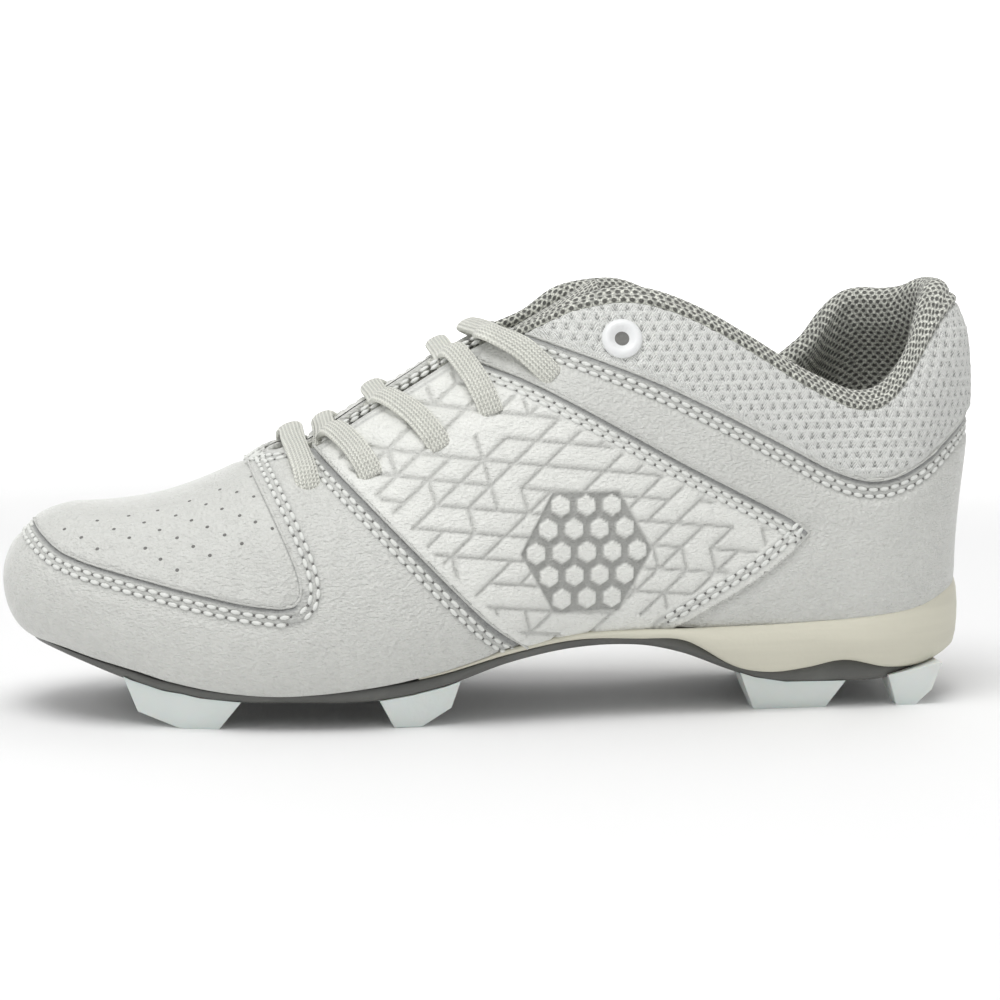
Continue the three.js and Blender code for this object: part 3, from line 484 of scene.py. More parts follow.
VAMP_SEAM = [(-129, 52.6), (-121, 46.5), (-100.5, 40.9), (-76, 35.4), (-65, 34), (-61.2, 34.4)]
VAMP_REAR_SEAM = [
    (-61.2, 34.4), (-59.2, 36.4), (-59, 40), (-60.3, 45), (-64.5, 55.5), (-69, 66.5), (-70.2, 71),
]
WING_TOP_SEAM = [(-70.2, 71), (-61, 71.9), (-53.5, 72.6)]
WING_SEAM = [(-53.5, 74.8), (-45.1, 65.9), (-28, 48.3), (-10.3, 30.7), (-3, 25), (3, 21.5)]
SADDLE_SEAM = [(-8, 97.4), (3.3, 93.4), (17.7, 86.4), (47.1, 70.4), (61.9, 62.8), (78, 54.4), (83, 50.2)]
COUNTER_SEAM = [(83, 50.2), (77.2, 44.6), (68, 37.8), (49.7, 27.7), (43, 24.6)]
COLLAR_SEAM = [
    (1, 106.4), (22.5, 99.1), (40.7, 92.1), (59.2, 83.4), (77.8, 73.9), (90, 67.6), (99.4, 64.6), (107, 64.9),
    (116.6, 68.8), (128.1, 77), (136, 81.6), (139, 82),
]


def inside(x, z, outline):
    """Whether side-view points lie inside a closed outline."""
    result = np.zeros(x.shape, bool)
    for (x0, z0), (x1, z1) in zip(outline, outline[1:] + outline[:1]):
        if z0 == z1:
            continue
        crosses = (z0 > z) != (z1 > z)
        result ^= crosses & (x < (x1 - x0) * (z - z0) / (z1 - z0) + x0)
    return result


def line_rows(rows):
    return [tuple(p) for p in seam_points(rows, 1.0)]


# The outlines close past the shoe's ends and under the floor
WING_OUTLINE = (
    [(-170, 52.6)] + line_rows(VAMP_SEAM) + line_rows(VAMP_REAR_SEAM) + line_rows(WING_TOP_SEAM)
    + line_rows(WING_SEAM) + [(3, -9), (-170, -9)]
)
SADDLE_OUTLINE = (
    line_rows(SADDLE_SEAM) + line_rows(COUNTER_SEAM) + [(43, -9), (170, -9), (170, 82)]
    + line_rows(COLLAR_SEAM)[::-1]
)


class Wall:
    """The upper's outer face on one fine grid: points, normals, seam distances and panel heights."""

    def __init__(self, lateral, medial, rows):
        self.along = np.concatenate([np.arange(lateral) / lateral / 2, 0.5 + np.arange(medial) / medial / 2])
        self.up = np.linspace(0, 1, rows + 1)
        along, up = self.along[:, None], self.up[None]
        self.base = wall_point(along, up)
        self.normal = wall_normal(along, up)
        self.side = np.where(along + 0 * up <= 0.5, -1.0, 1.0)
        self.x, self.z = self.base[..., 0], self.base[..., 2]
        self.tree = make_tree(self.base.reshape(-1, 3))
        self.trees = {side: self.side_tree(side) for side, _ in SIDES}
        self.run = run_along(self.base[:, int(rows * 0.6)], closed=True)
        self.to_edge = run_across(self.base)
        self.to_edge = self.to_edge[:, -1:] - self.to_edge
        self.lines = {}

    def side_tree(self, side):
        """Finds the points of one side in the side view."""
        keep = np.nonzero((self.side == side).ravel())[0]
        return make_tree(self.base.reshape(-1, 3)[keep] * (1, 0, 1), keep)

    def on_wall(self, side, rows):
        """A side-view line laid onto one side of the wall."""
        flat = self.base.reshape(-1, 3)
        points = []
        for x, z in seam_points(rows):
            near = self.trees[side].find((x, 0, z))[1]
            points.append((x, flat[near][1], z))
        points = np.array(points)
        points[:, 1] = eased(points[:, 1])
        return points

    def distance(self, name, rows, reach=15):
        """Distance of every grid point from a seam on its own side, past reach left at reach."""
        result = np.full(self.x.shape, float(reach))
        for side, _ in SIDES:
            line = self.on_wall(side, rows)
            self.lines[name, side] = line
            tree = make_tree(line)
            low, high = line.min(0) - reach, line.max(0) + reach
            near = (self.side == side) & np.all((self.base > low) & (self.base < high), axis=-1)
            spots = self.base[near]
            result[near] = [min(reach, tree.find(p)[2]) for p in spots.tolist()]
        return result


# Panel relief, in millimetres above the wall
FLANGE_LEVEL = 0.45
PUFF = 1.0
EDGE_ROUND = 1.3
STITCH_ROWS = (2.6, 4.5)
THROAT_ROWS = (1.7, 3.6)
FLANGE = 5.4
LATTICE_DEPTH = 0.85
PATCH_AT = (19.0, 47.0)
PATCH_RADIUS = 16.6
HEX_PITCH = 7.2
HEX_RADIUS = 2.85
PATCH_DEPTH = 0.95
STITCH_GROOVE = 0.2
VAMP_REAR = -52
THROAT_REAR = 2
# The wall's columns on its lateral and medial side, and its rows
WALL_GRID = (880, 490, 190)
# Each seam: its line, the panel that carries its stitches, and the width of the grey strip of painted shade
# beside it
SEAMS = {
    "vamp": (VAMP_SEAM, "wing", 1.5), "vamp_rear": (VAMP_REAR_SEAM, "wing", 0),
    "wing_top": (WING_TOP_SEAM, "wing", 0), "wing": (WING_SEAM, "wing", 2.0),
    "saddle": (SADDLE_SEAM, "quarter", 1.7), "counter": (COUNTER_SEAM, "quarter", 0),
    "collar": (COLLAR_SEAM, "saddle", 1.5),
}


def edge_puff(distance):
    """A rounded edge: a quarter circle up from the seam."""
    t = np.clip(distance / EDGE_ROUND, 0, 1)
    return np.sqrt(1 - (1 - t) ** 2)


def pick_edge(i, j, seed):
    """The same number from 0 to 1 each time for each edge of the lattice."""
    return np.abs(np.sin(i * 12.9898 + j * 78.233 + seed) * 43758.5453) % 1


# The embossed lozenges lie on a slanted lattice with some edges left out and some cut across
LATTICE_ALONG = np.array([8.3, -0.75])
LATTICE_SLANT = np.array([6.6, 5.8])
LATTICE_START = np.array([-22.0, 60.0])


def lattice_gap(x, z):
    """Distance to the nearest line of the embossed lozenges."""
    (ax, az), (bx, bz) = LATTICE_ALONG, LATTICE_SLANT
    area = ax * bz - az * bx
    px, pz = x - LATTICE_START[0], z - LATTICE_START[1]
    i, j = (px * bz - pz * bx) / area, (pz * ax - px * az) / area
    long_edge, slant_edge = np.hypot(ax, az), np.hypot(bx, bz)
    cross_edge = np.hypot(bx - ax, bz - az)
    ri, rj, fi, fj = np.rint(i), np.rint(j), np.floor(i), np.floor(j)
    far = 9.0
    along = np.where(pick_edge(fi, rj, 1.7) > 0.14, np.abs(j - rj) * area / long_edge, far)
    slant = np.where(pick_edge(ri, fj, 5.1) > 0.3, np.abs(i - ri) * area / slant_edge, far)
    cut = np.where(pick_edge(fi, fj, 9.3) < 0.22, np.abs(i - fi + j - fj - 1) * area / cross_edge, far)
    return np.minimum(np.minimum(along, slant), cut)


def lattice(x, z):
    """Embossed lozenges: 1 on their tops, 0 in the grooves between them."""
    gap = lattice_gap(x, z)
    return 0.75 * smooth(gap, 0.1, 0.7) + 0.25 * smooth(gap, 0, 2.6)


def patch_reach(x, z):
    """How far out a point of the honeycomb patch lies, measured square to its six sides."""
    dx, dz = np.abs(x - PATCH_AT[0]), np.abs(z - PATCH_AT[1])
    return np.maximum(dz, dz / 2 + dx * math.sqrt(3) / 2)


def honeycomb(x, z):
    """Raised hexagons in staggered rows: 1 on their tops."""
    row_height = HEX_PITCH * math.sqrt(3) / 2
    row = np.floor((z - PATCH_AT[1]) / row_height + 0.5)
    cx = x - PATCH_AT[0] - (row % 2) * HEX_PITCH / 2
    column = np.floor(cx / HEX_PITCH + 0.5)
    dx = np.abs(cx - column * HEX_PITCH)
    dz = np.abs(z - PATCH_AT[1] - row * row_height)
    size = np.maximum(dx, dx * 0.5 + dz * math.sqrt(3) / 2)
    spot_x = PATCH_AT[0] + (column + (row % 2) / 2) * HEX_PITCH
    spot_z = PATCH_AT[1] + row * row_height
    return smooth(HEX_RADIUS - size, 0, 0.6) * (patch_reach(spot_x, spot_z) < PATCH_RADIUS - HEX_RADIUS)


RING_AT = (30.9, 103.8)
KNIT_WIDE = 3.4
KNIT_TALL = 2.7


def knit_relief(u, v):
    """Coarse knit: raised fans over three-cornered hollows, in staggered rows; the knit's material paints the
    fans bright and the hollows with painted shade.
    """
    row = np.floor(v / KNIT_TALL)
    a = (u / KNIT_WIDE + 0.5 * (row % 2)) % 1 - 0.5
    b = v / KNIT_TALL - row
    hollow = smooth(0.33 * (0.9 - b) - np.abs(a), -0.05, 0.12) * smooth(b, 0.04, 0.2)
    rope = 1 - smooth(np.abs(b - 0.95), 0.0, 0.3)
    return np.clip(0.72 - hollow * 0.85 + 0.28 * rope, 0, 1)


def build_wall():
    """The wall with each panel's relief on it, and the attributes that its materials read."""
    wall = Wall(*WALL_GRID)
    x, z = wall.x, wall.z
    d = {name: wall.distance(name, seam[0]) for name, seam in SEAMS.items()}
    in_wing = inside(x, z, WING_OUTLINE)
    in_saddle = inside(x, z, SADDLE_OUTLINE) & ~in_wing
    collar_z = np.interp(x, [p[0] for p in COLLAR_SEAM], [p[1] for p in COLLAR_SEAM])
    in_collar = (x > 0) & (z > collar_z) & ~in_saddle & ~in_wing
    in_vamp = (x < VAMP_REAR) & ~in_wing
    in_quarter = ~(in_wing | in_saddle | in_collar | in_vamp)
    masks = dict(wing=in_wing, saddle=in_saddle, collar=in_collar, vamp=in_vamp, quarter=in_quarter)
    u = np.broadcast_to(wall.run[:-1, None], x.shape)
    edge = wall.to_edge
    height = np.full_like(x, FLANGE_LEVEL)
    # The wing lies under the vamp's front edge and over its rear edge
    over = np.minimum(d["vamp_rear"], d["wing_top"])
    field = smooth(np.minimum(d["vamp"], d["wing"]), 4.6, 8.5)
    wing = 0.45 * field
    wing = np.maximum(wing, 0.75 * edge_puff(over * 1.6) * (1 - smooth(over, 2.0, 9.0)))
    height += in_wing * wing * smooth(np.minimum(d["vamp"], 2.0), 0, 1.4)
    height += in_vamp * PUFF * edge_puff(d["vamp"]) * mix(0.3, 1, smooth(over, 0.3, 4))
    # The quarter is puffed along the wing, flat under the stitches of the saddle, and embossed between
    in_patch = smooth(PATCH_RADIUS - patch_reach(x, z), 0, 0.9)
    flat = np.minimum(smooth(d["saddle"], FLANGE, FLANGE + 1.2), smooth(d["counter"], FLANGE, FLANGE + 1.2))
    flat = np.minimum(flat, np.minimum(smooth(edge, FLANGE - 1, FLANGE), smooth(d["wing"], 2.2, 3.2)))
    carved = (lattice(x, z) - 1) * LATTICE_DEPTH * (1 - in_patch)
    carved += in_patch * (honeycomb(x, z) - 1) * PATCH_DEPTH
    rise = PUFF * edge_puff(d["wing"]) * smooth(d["saddle"], 1.0, FLANGE + 1.5)
    lap = 0.85 * edge_puff(d["counter"] * 1.8) * (1 - smooth(d["counter"], 4.0, 14.0))
    height += in_quarter * (np.maximum(rise, lap) + flat * carved)
    saddle = np.minimum(edge_puff(d["saddle"]), smooth(d["collar"], FLANGE - 0.4, FLANGE + 1.8))
    height += in_saddle * (0.9 * saddle * smooth(d["counter"], 0, 6))
    soft = smooth(d["collar"], 0, 2.4)
    knit = knit_relief(u, z)
    pressed = smooth(np.hypot(x - RING_AT[0], z - RING_AT[1]), 4.8, 9.0)
    height += in_collar * pressed * (1.15 * soft + 0.6 * (knit - 0.7) * soft * smooth(edge, 0, 1.2))
    # Painted shade: grey in each seam's groove beside the raised edge, round each stitch row, and under the
    # edges that overlap
    seam_shading = np.zeros_like(x)
    for name, (_, panel, width) in SEAMS.items():
        carrier = masks[panel]
        for row in STITCH_ROWS:
            height -= carrier * STITCH_GROOVE * np.exp(-((d[name] - row) / 0.6) ** 2)
            seam_shading = np.maximum(seam_shading, carrier * 0.5 * np.exp(-((d[name] - row) / 0.85) ** 2))
        if width:
            seam_shading = np.maximum(seam_shading, carrier * (1 - smooth(d[name], width - 0.5, width + 0.5)))
            height -= carrier * 0.3 * (1 - smooth(d[name], 0.2, width))
    # Painted shadow of the wing's raised edge on the vamp, and of the quarter's edge on the saddle
    seam_shading = np.maximum(seam_shading, in_vamp * (1 - smooth(over, 0.35, 0.8)))
    seam_shading = np.maximum(seam_shading, in_saddle * 0.7 * (1 - smooth(d["counter"], 0.1, 0.7)))
    # Painted shade round the stitch rows beside the throat
    by_throat = in_quarter & (x < THROAT_REAR)
    for row in THROAT_ROWS:
        height -= by_throat * STITCH_GROOVE * np.exp(-((edge - row) / 0.6) ** 2)
        seam_shading = np.maximum(seam_shading, by_throat * 0.45 * np.exp(-((edge - row) / 0.85) ** 2))
    height *= np.where(in_collar, smooth(edge, ROLL_DROP - 1.2, ROLL_DROP + 0.8), smooth(edge, -0.6, 1.4))
    wall.masks, wall.height, wall.distances = masks, height, d
    piping = in_collar * (1 - smooth(d["collar"], 1.2, 1.9))
    # The first two values are painted shade for the leather: grey along the seams and darker in the embossed
    # grooves
    wall.values = {
        "seam_shade": seam_shading, "groove_shade": in_quarter * flat * (1 - lattice(x, z)) * (1 - in_patch),
        "knit": np.maximum(knit, piping), "piping": piping, "floor": in_patch * (1 - honeycomb(x, z)) * flat,
    }
    wall.points = wall.base + wall.normal * height[..., None]
    wall.uv = np.stack([u, z], -1)
    return wall


WALL = None


def the_wall():
    global WALL
    if WALL is None:
        WALL = build_wall()
    return WALL


# Materials
class Sock:
    """A shader socket that takes part in Python arithmetic."""

    def __init__(self, look_, socket):
        self.look, self.socket = look_, socket

    def _math(self, operation, *values):
        return self.look.node("ShaderNodeMath", {"operation": operation}, dict(enumerate(values)))

    def __add__(self, other):
        return self._math("ADD", self, other)

    def __sub__(self, other):
        return self._math("SUBTRACT", self, other)

    def __rsub__(self, other):
        return self._math("SUBTRACT", other, self)

    def __mul__(self, other):
        return self._math("MULTIPLY", self, other)

    __radd__ = __add__
    __rmul__ = __mul__

    def floor(self):
        return self._math("FLOOR", self)

    def fract(self):
        return self._math("FRACT", self)

    def wave(self):
        return self._math("SINE", self)

    def fold(self):
        return self._math("PINGPONG", self, 1.0)

    def step(self, low, high):
        """0 below low, 1 above high, eased between."""
        settings = {"interpolation_type": "SMOOTHSTEP"}
        return self.look.node("ShaderNodeMapRange", settings, {0: self, 1: low, 2: high}, 0)


class Look:
    """One material's node tree: a Principled shader, its pattern nodes and the bump that feeds it."""

    def __init__(self, name, color, roughness, **fixed):
        self.material = bpy.data.materials.new(name)
        self.material.use_nodes = True
        self.tree = self.material.node_tree
        self.shader = self.tree.nodes["Principled BSDF"]
        self.shader.inputs["Base Color"].default_value = (*color, 1)
        self.shader.inputs["Roughness"].default_value = roughness
        for key, value in fixed.items():
            self.shader.inputs[key.replace("_", " ")].default_value = value

    def node(self, kind, settings=None, inputs=None, output=0):
        made = self.tree.nodes.new(kind)
        for key, value in (settings or {}).items():
            setattr(made, key, value)
        for key, value in (inputs or {}).items():
            self.plug(made.inputs[key], value)
        return Sock(self, made.outputs[output])

    def plug(self, target, value):
        if isinstance(value, Sock):
            self.tree.links.new(value.socket, target)
        else:
            target.default_value = value

    def coords(self):
        return self.node("ShaderNodeTexCoord", output="Object")

    def value(self, name):
        return self.node("ShaderNodeAttribute", {"attribute_name": name}, output="Fac")

    def uv(self):
        vector = self.node("ShaderNodeUVMap", {"uv_map": "Surface"})
        split = self.node("ShaderNodeSeparateXYZ", inputs={0: vector})
        return Sock(self, split.socket.node.outputs[0]), Sock(self, split.socket.node.outputs[1])

    def noise(self, scale, detail=3.0, where=None):
        inputs = {"Vector": where or self.coords(), "Scale": scale, "Detail": detail}
        return self.node("ShaderNodeTexNoise", inputs=inputs, output="Fac")

    def cells(self, scale):
        inputs = {"Vector": self.coords(), "Scale": scale}
        return self.node("ShaderNodeTexVoronoi", inputs=inputs, output="Distance")

    def color(self, factor, first, second):
        inputs = {0: factor, 6: (*first, 1) if isinstance(first, tuple) else first,
                  7: (*second, 1) if isinstance(second, tuple) else second}
        return self.node("ShaderNodeMix", {"data_type": "RGBA"}, inputs, 2)

    def bump(self, height, distance, strength=1.0):
        inputs = {"Height": height, "Distance": distance, "Strength": strength}
        made = self.node("ShaderNodeBump", inputs=inputs)
        old = self.shader.inputs["Normal"]
        if old.is_linked:
            self.tree.links.new(old.links[0].from_socket, made.socket.node.inputs["Normal"])
        self.tree.links.new(made.socket, old)

    def paint(self, **inputs):
        for key, value in inputs.items():
            self.plug(self.shader.inputs[key.replace("_", " ")], value)
        return self.material


LOOKS = {}


def look_of(name):
    if name not in LOOKS:
        LOOKS[name] = LOOK_MAKERS[name]()
    return LOOKS[name]


def own_color(key):
    return tuple(getattr(bpy.context.scene.cleat_finish, key + "_color"))


def dim(color, share):
    """A colour made darker, or lighter for a share above 1."""
    return tuple(min(1.0, c * share) for c in color)


# Grey of the painted shade along the seams and round the stitch rows
SEAM_SHADE_GREY = (0.3, 0.305, 0.3)
GRAIN_TURN = (0.0, 0.65, 0.0)
GRAIN_SCALE = (800, 800, 1900)
# Painted light: the embossed quarter is a lighter copy of the same leather, for its brighter top-lit look
EMBOSSED_PAINTED_LIGHT = 1.22


def leather_look(name="white_leather", grain=1.0, embossed=False):
    """Fine pebbled grain drawn out along the shoe, with painted shade in grey strips along the seams and,
    embossed, painted shade in darker grooves and painted light in a lighter copy of the leather.
    """
    # Painted light: the embossed copy of the leather is made lighter
    white = dim(own_color("leather"), EMBOSSED_PAINTED_LIGHT if embossed else 1.0)
    made = Look(name, white, 0.42, Coat_Weight=0.05, Coat_Roughness=0.4)
    seam_shade = made.value("seam_shade")
    broad = made.noise(28, 2)
    turned = {0: made.coords(), "Rotation": GRAIN_TURN, "Scale": GRAIN_SCALE}
    grain_height = made.noise(1.0, 3, made.node("ShaderNodeMapping", inputs=turned)) + made.cells(900) * 0.5
    tone = made.noise(260, 3).step(0.35, 0.65)
    shade = made.color(broad.step(0.3, 0.75) * 0.5 + tone * 0.5, white, dim(white, 0.93))
    if embossed:
        # Painted shade: darker in the grooves between the embossed lozenges
        shade = made.color(made.value("groove_shade") * 0.45, shade, dim(white, 0.45))
        shade = made.color(made.value("floor") * 0.9, shade, dim(white, 0.42))
    # Painted shade: grey along the seams and round the stitch rows
    shade = made.color(seam_shade * 0.95, shade, SEAM_SHADE_GREY)
    made.bump(grain_height, 0.0009 * grain, 0.85)
    made.bump(made.noise(140, 2), 0.0005 * grain, 0.25)
    return made.paint(Base_Color=shade, Roughness=broad * 0.1 + seam_shade * 0.2 + 0.36)


def knit_look():
    """Strands that cross in each knot, and painted shade in the hollows between."""
    white = own_color("knit")
    made = Look("white_knit", white, 0.85, Sheen_Weight=0.2, Sheen_Roughness=0.5)
    u, v = made.uv()
    row = v * (1 / KNIT_TALL)
    slant = ((u * (1 / KNIT_WIDE) + row.floor() * 0.5) * 2).fold()
    strands = ((slant * 2.2 + row.fract() * 2.6) * (2 * math.pi)).wave()
    fuzz = made.noise(1500, 4)
    relief = made.value("knit") * 0.6 + strands * 0.24 + (fuzz - 0.5) * 1.1 + 0.2
    made.bump(relief, 0.0009, 0.9)
    # Painted shade: darker where the knit's relief is low, except on the piping
    dark = (1 - relief.step(-0.05, 0.65)) * (1 - made.value("piping"))
    return made.paint(Base_Color=made.color(dark * 0.85, white, dim(white, 0.34)))


MESH_WIDE = 2.1
MESH_TALL = 1.4


def lining_look():
    """Spacer mesh: staggered holes filled with painted shade in a fuzzy grey cloth."""
    grey = own_color("lining")
    made = Look("grey_spacer_mesh", grey, 0.9, Sheen_Weight=0.2, Sheen_Roughness=0.5)
    u, v = made.uv()
    row = v * (1 / MESH_TALL)
    a = (u * (1 / MESH_WIDE) + row.floor() * 0.5).fract() - 0.5
    b = row.fract() - 0.5
    hole = 1 - (a * a * 5.0 + b * b * 2.4).step(0.16, 0.62)
    fuzz = made.noise(1700, 3)
    made.bump((1 - hole) + fuzz * 0.5, 0.0006, 0.9)
    shade = made.color(fuzz.step(0.35, 0.7), dim(grey, 0.6), dim(grey, 1.5))
    # Painted shade: the holes are near black
    return made.paint(Base_Color=made.color(hole * 0.9, shade, dim(grey, 0.12)))


def lace_look():
    """A flat woven braid, with its yarns slanted in thirteen ribs."""
    white = own_color("lace")
    made = Look("woven_lace", white, 0.8, Sheen_Weight=0.3, Sheen_Roughness=0.4)
    u, v = made.uv()
    column = v * 13.0
    weave = ((u * (1 / 1.05) + column.fold() * 0.55) * (2 * math.pi)).wave()
    rib = (column * math.pi).wave()
    relief = weave * 0.3 + rib * 0.45 + made.noise(1500, 3) * 0.8
    made.bump(relief, 0.0006, 0.9)
    # Painted shade: darker where the weave's relief is low
    shade = made.color((1 - relief.step(-0.15, 0.85)) * 0.6, white, dim(white, 0.5))
    return made.paint(Base_Color=shade)


def thread_look():
    made = Look("stitch_thread", (0.8, 0.81, 0.78), 0.6)
    made.bump(made.noise(2600, 2), 0.0002, 0.5)
    return made.paint(Base_Color=made.color(made.noise(900, 2), (0.84, 0.85, 0.82), (0.7, 0.71, 0.68)))


# Painted shade: near-black beads and discs stand in for the shade inside holes
def hole_shade_look():
    made = Look("painted_hole_shade", (0.12, 0.12, 0.12), 0.9)
    return made.paint(Base_Color=made.color(made.noise(800), (0.13, 0.13, 0.12), (0.24, 0.24, 0.23)))


def foam_look():
    """Moulded foam with faint wrinkles that run along the shoe."""
    cream = own_color("foam")
    made = Look("cream_foam", cream, 0.62)
    stretch = made.node("ShaderNodeMapping", inputs={0: made.coords(), "Scale": (14, 14, 260)})
    wrinkle = made.noise(1.0, 4, stretch)
    made.bump(wrinkle, 0.0007, 0.35)
    made.bump(made.noise(900, 3), 0.00025, 0.5)
    # Painted shade: a little darker in the wrinkles' low parts
    shade = made.color(wrinkle.step(0.3, 0.7), dim(cream, 0.93), cream)
    return made.paint(Base_Color=shade, Roughness=made.noise(40) * 0.15 + 0.52)


def plate_look():
    """Moulded plastic with broad scuffs."""
    grey = own_color("plate")
    made = Look("grey_plate", grey, 0.4)
    made.bump(made.noise(1200, 3), 0.0002, 0.5)
    scuff = made.noise(60, 4)
    shade = made.color(scuff.step(0.4, 0.7), dim(grey, 0.86), dim(grey, 1.1))
    return made.paint(Base_Color=shade, Roughness=scuff * 0.2 + 0.34)


def stud_look():
    pale = own_color("stud")
    made = Look("pale_stud", pale, 0.35, Subsurface_Weight=0.15, Subsurface_Scale=0.003)
    made.bump(made.noise(500, 3), 0.0002, 0.4)
    shade = made.color(made.noise(70, 2), dim(pale, 0.95), pale)
    return made.paint(Base_Color=shade, Roughness=made.noise(90) * 0.15 + 0.3)


def ring_look():
    made = Look("eyelet_plastic", (0.83, 0.84, 0.84), 0.32)
    made.bump(made.noise(700, 2), 0.00012, 0.4)
    return made.paint(Base_Color=made.color(made.noise(90), (0.8, 0.81, 0.81), (0.86, 0.87, 0.87)))


def floor_look():
    """A pale floor that glows far from the shoe, so that it has no visible end."""
    made = Look("pale_floor", (0.9, 0.9, 0.9), 0.7, Emission_Strength=1.0)
    far = made.node("ShaderNodeVectorMath", {"operation": "LENGTH"}, {0: made.coords()}, "Value")
    made.paint(Emission_Color=made.color(far.step(0.35, 1.3), (0.0, 0.0, 0.0), (1.0, 1.0, 1.0)))
    return made.paint(Base_Color=made.color(made.noise(3), (0.9, 0.9, 0.9), (0.91, 0.91, 0.91)))


LOOK_MAKERS = {
    "leather": leather_look,
    "quarter": lambda: leather_look("embossed_leather", 0.8, True),
    "knit": knit_look,
    "lining": lining_look,
    "lace": lace_look,
    "thread": thread_look,
    "needle": hole_shade_look,
    "foam": foam_look,
    "plate": plate_look,
    "stud": stud_look,
    "ring": ring_look,
    "floor": floor_look,
}


# Pieces of the upper
PANELS = {
    "vamp": ("vamp_panel", "leather"), "wing": ("toe_wing_panel", "leather"),
    "quarter": ("quarter_panel", "quarter"), "saddle": ("saddle_counter_panel", "leather"),
    "collar": ("collar_knit", "knit"),
}
REPLACED = {"quarter": ["upper"], "wing": ["toe_wing"], "saddle": ["saddle_counter"]}


def add_panel(zone):
    wall = the_wall()
    name, finish = PANELS[zone]
    uv = closed_up(wall.uv, wall.run[-1])
    mesh = grid_mesh(name, wall.points, True, wall.masks[zone], wall.values, uv)
    piece = add_piece(name, mesh, look_of(finish), "leather", REPLACED.get(zone, ()))


def rim_points(along, turn):
    """The rounded edge over the wall's top, from its outer (0) to its inner face (pi)."""
    outer = wall_point(along, 1)
    thick = wall_thickness(share_at(outer[..., 0]), 1)
    inner = off_wall(along, 1, -thick)
    rise = unit(wall_point(along, 1) - wall_point(along, 0.98))
    middle, half = (outer + inner) / 2, (outer - inner) / 2
    lift = rise * np.linalg.norm(half, axis=-1, keepdims=True)
    return middle + half * np.cos(turn)[..., None] + lift * np.sin(turn)[..., None]


def lining_points(along, up):
    thick = wall_thickness(share_at(wall_point(along, up)[..., 0]), up)
    return off_wall(along, up, -thick)


RIM_STEPS = 12
ROLL_DROP = 3.4
# The rolled edge of the collar: how far below the top and how far out of the wall each row lies
ROLL = [(ROLL_DROP, -0.3), (3.25, 0.6), (2.75, 1.35), (2.0, 1.75), (1.2, 1.6), (0.5, 1.0)]
LINING_COLUMNS = 560
LINING_ROWS = 60
# How far along the shoe the leather binding of the throat gives way to the collar's lining
BINDING_END = 0.5


def roll_points(along, down, out):
    """A row of the collar's rolled edge."""
    step = 0.02
    near_top = wall_point(along, np.full_like(along, 1 - step))
    length = np.linalg.norm(wall_point(along, np.ones_like(along)) - near_top, axis=-1)
    return off_wall(along, 1 - step * down / length, out)


def build_lining():
    """The rolled edge, the rim over the wall's top and its inner face, on one grid."""
    along = np.arange(LINING_COLUMNS) / LINING_COLUMNS
    turns = np.linspace(0, math.pi, RIM_STEPS + 1)
    ups = np.linspace(1, 0, LINING_ROWS + 1)[1:]
    roll = [roll_points(along, down, out) for down, out in ROLL]
    rim = [rim_points(along, np.full_like(along, t)) for t in turns]
    inner = [lining_points(along, np.full_like(along, u)) for u in ups]
    points = np.stack(roll + rim + inner, 1)
    at = share_at(points[..., 0])
    rows = np.arange(points.shape[1])[None] + 0 * at
    on_roll, outer = rows < len(ROLL), rows < len(ROLL) + RIM_STEPS
    binding = outer & ~on_roll & (at < BINDING_END)
    lining = ~outer | (at >= BINDING_END)
    rise = run_across(points)
    run = run_along(points[:, len(ROLL) + RIM_STEPS], closed=True)
    uv = closed_up(np.stack([np.broadcast_to(run[:-1, None], rise.shape), rise], -1), run[-1])
    values = {"seam_shade": np.zeros_like(at)}
    mesh = grid_mesh("throat_binding", points, True, binding, values, uv)
    add_piece("throat_binding", mesh, look_of("leather"), "leather")
    mesh = grid_mesh("collar_lining", points, True, lining, values, uv)
    add_piece("collar_lining", mesh, look_of("lining"), "lining")


# Tongue, in millimetres
TONGUE_THICK = 4
TONGUE_LINE = table("at crown", [
    (-69, 62), (-61.5, 65), (-54, 68.5), (-46, 74), (-36, 80.3), (-24, 88.2), (-12, 95.6), (0, 102.4),
    (10, 108.4), (18, 113), (24.5, 117.2), (28.5, 119.6),
])
# Along the tongue: its hidden front end, where it comes into sight, where the wall lets it go, and its tip
TONGUE_START = -69.0
TONGUE_SEEN = -54.0
TONGUE_FREE = 16.0
TONGUE_END = 29.5
TONGUE_FACING_END = 0.0
TIP_SHARE = 0.42
FRONT_LOSS = 0.42


def tongue_arch(x, t):
    """The tongue's upper face at a station: t runs from its lateral (-1) to its medial edge (1)."""
    hold = min(max(x, TONGUE_SEEN), TONGUE_FREE)
    crown = look(TONGUE_LINE, "crown", x)
    rise = crown - look(TONGUE_LINE, "crown", hold)
    depth = wall_thickness(share_at(hold), 0.9) + 1.2
    left, right = (off_wall(along_at(hold, side), 0.9, -depth) for side, _ in SIDES)
    near = min(1.0, max(0.0, (TONGUE_END - x) / (TONGUE_END - TONGUE_FREE)))
    narrow = TIP_SHARE + (1 - TIP_SHARE) * math.sqrt(1 - (1 - near) ** 2) if x > hold else 1.0
    narrow -= FRONT_LOSS * float(smooth(TONGUE_SEEN - x, 0, 15))
    half = (right[1] - left[1]) / 2 * narrow
    foot = (left[2] + right[2]) / 2 + rise
    return (left[1] + right[1]) / 2 + half * t, mix(crown, foot, np.abs(t) ** 2)


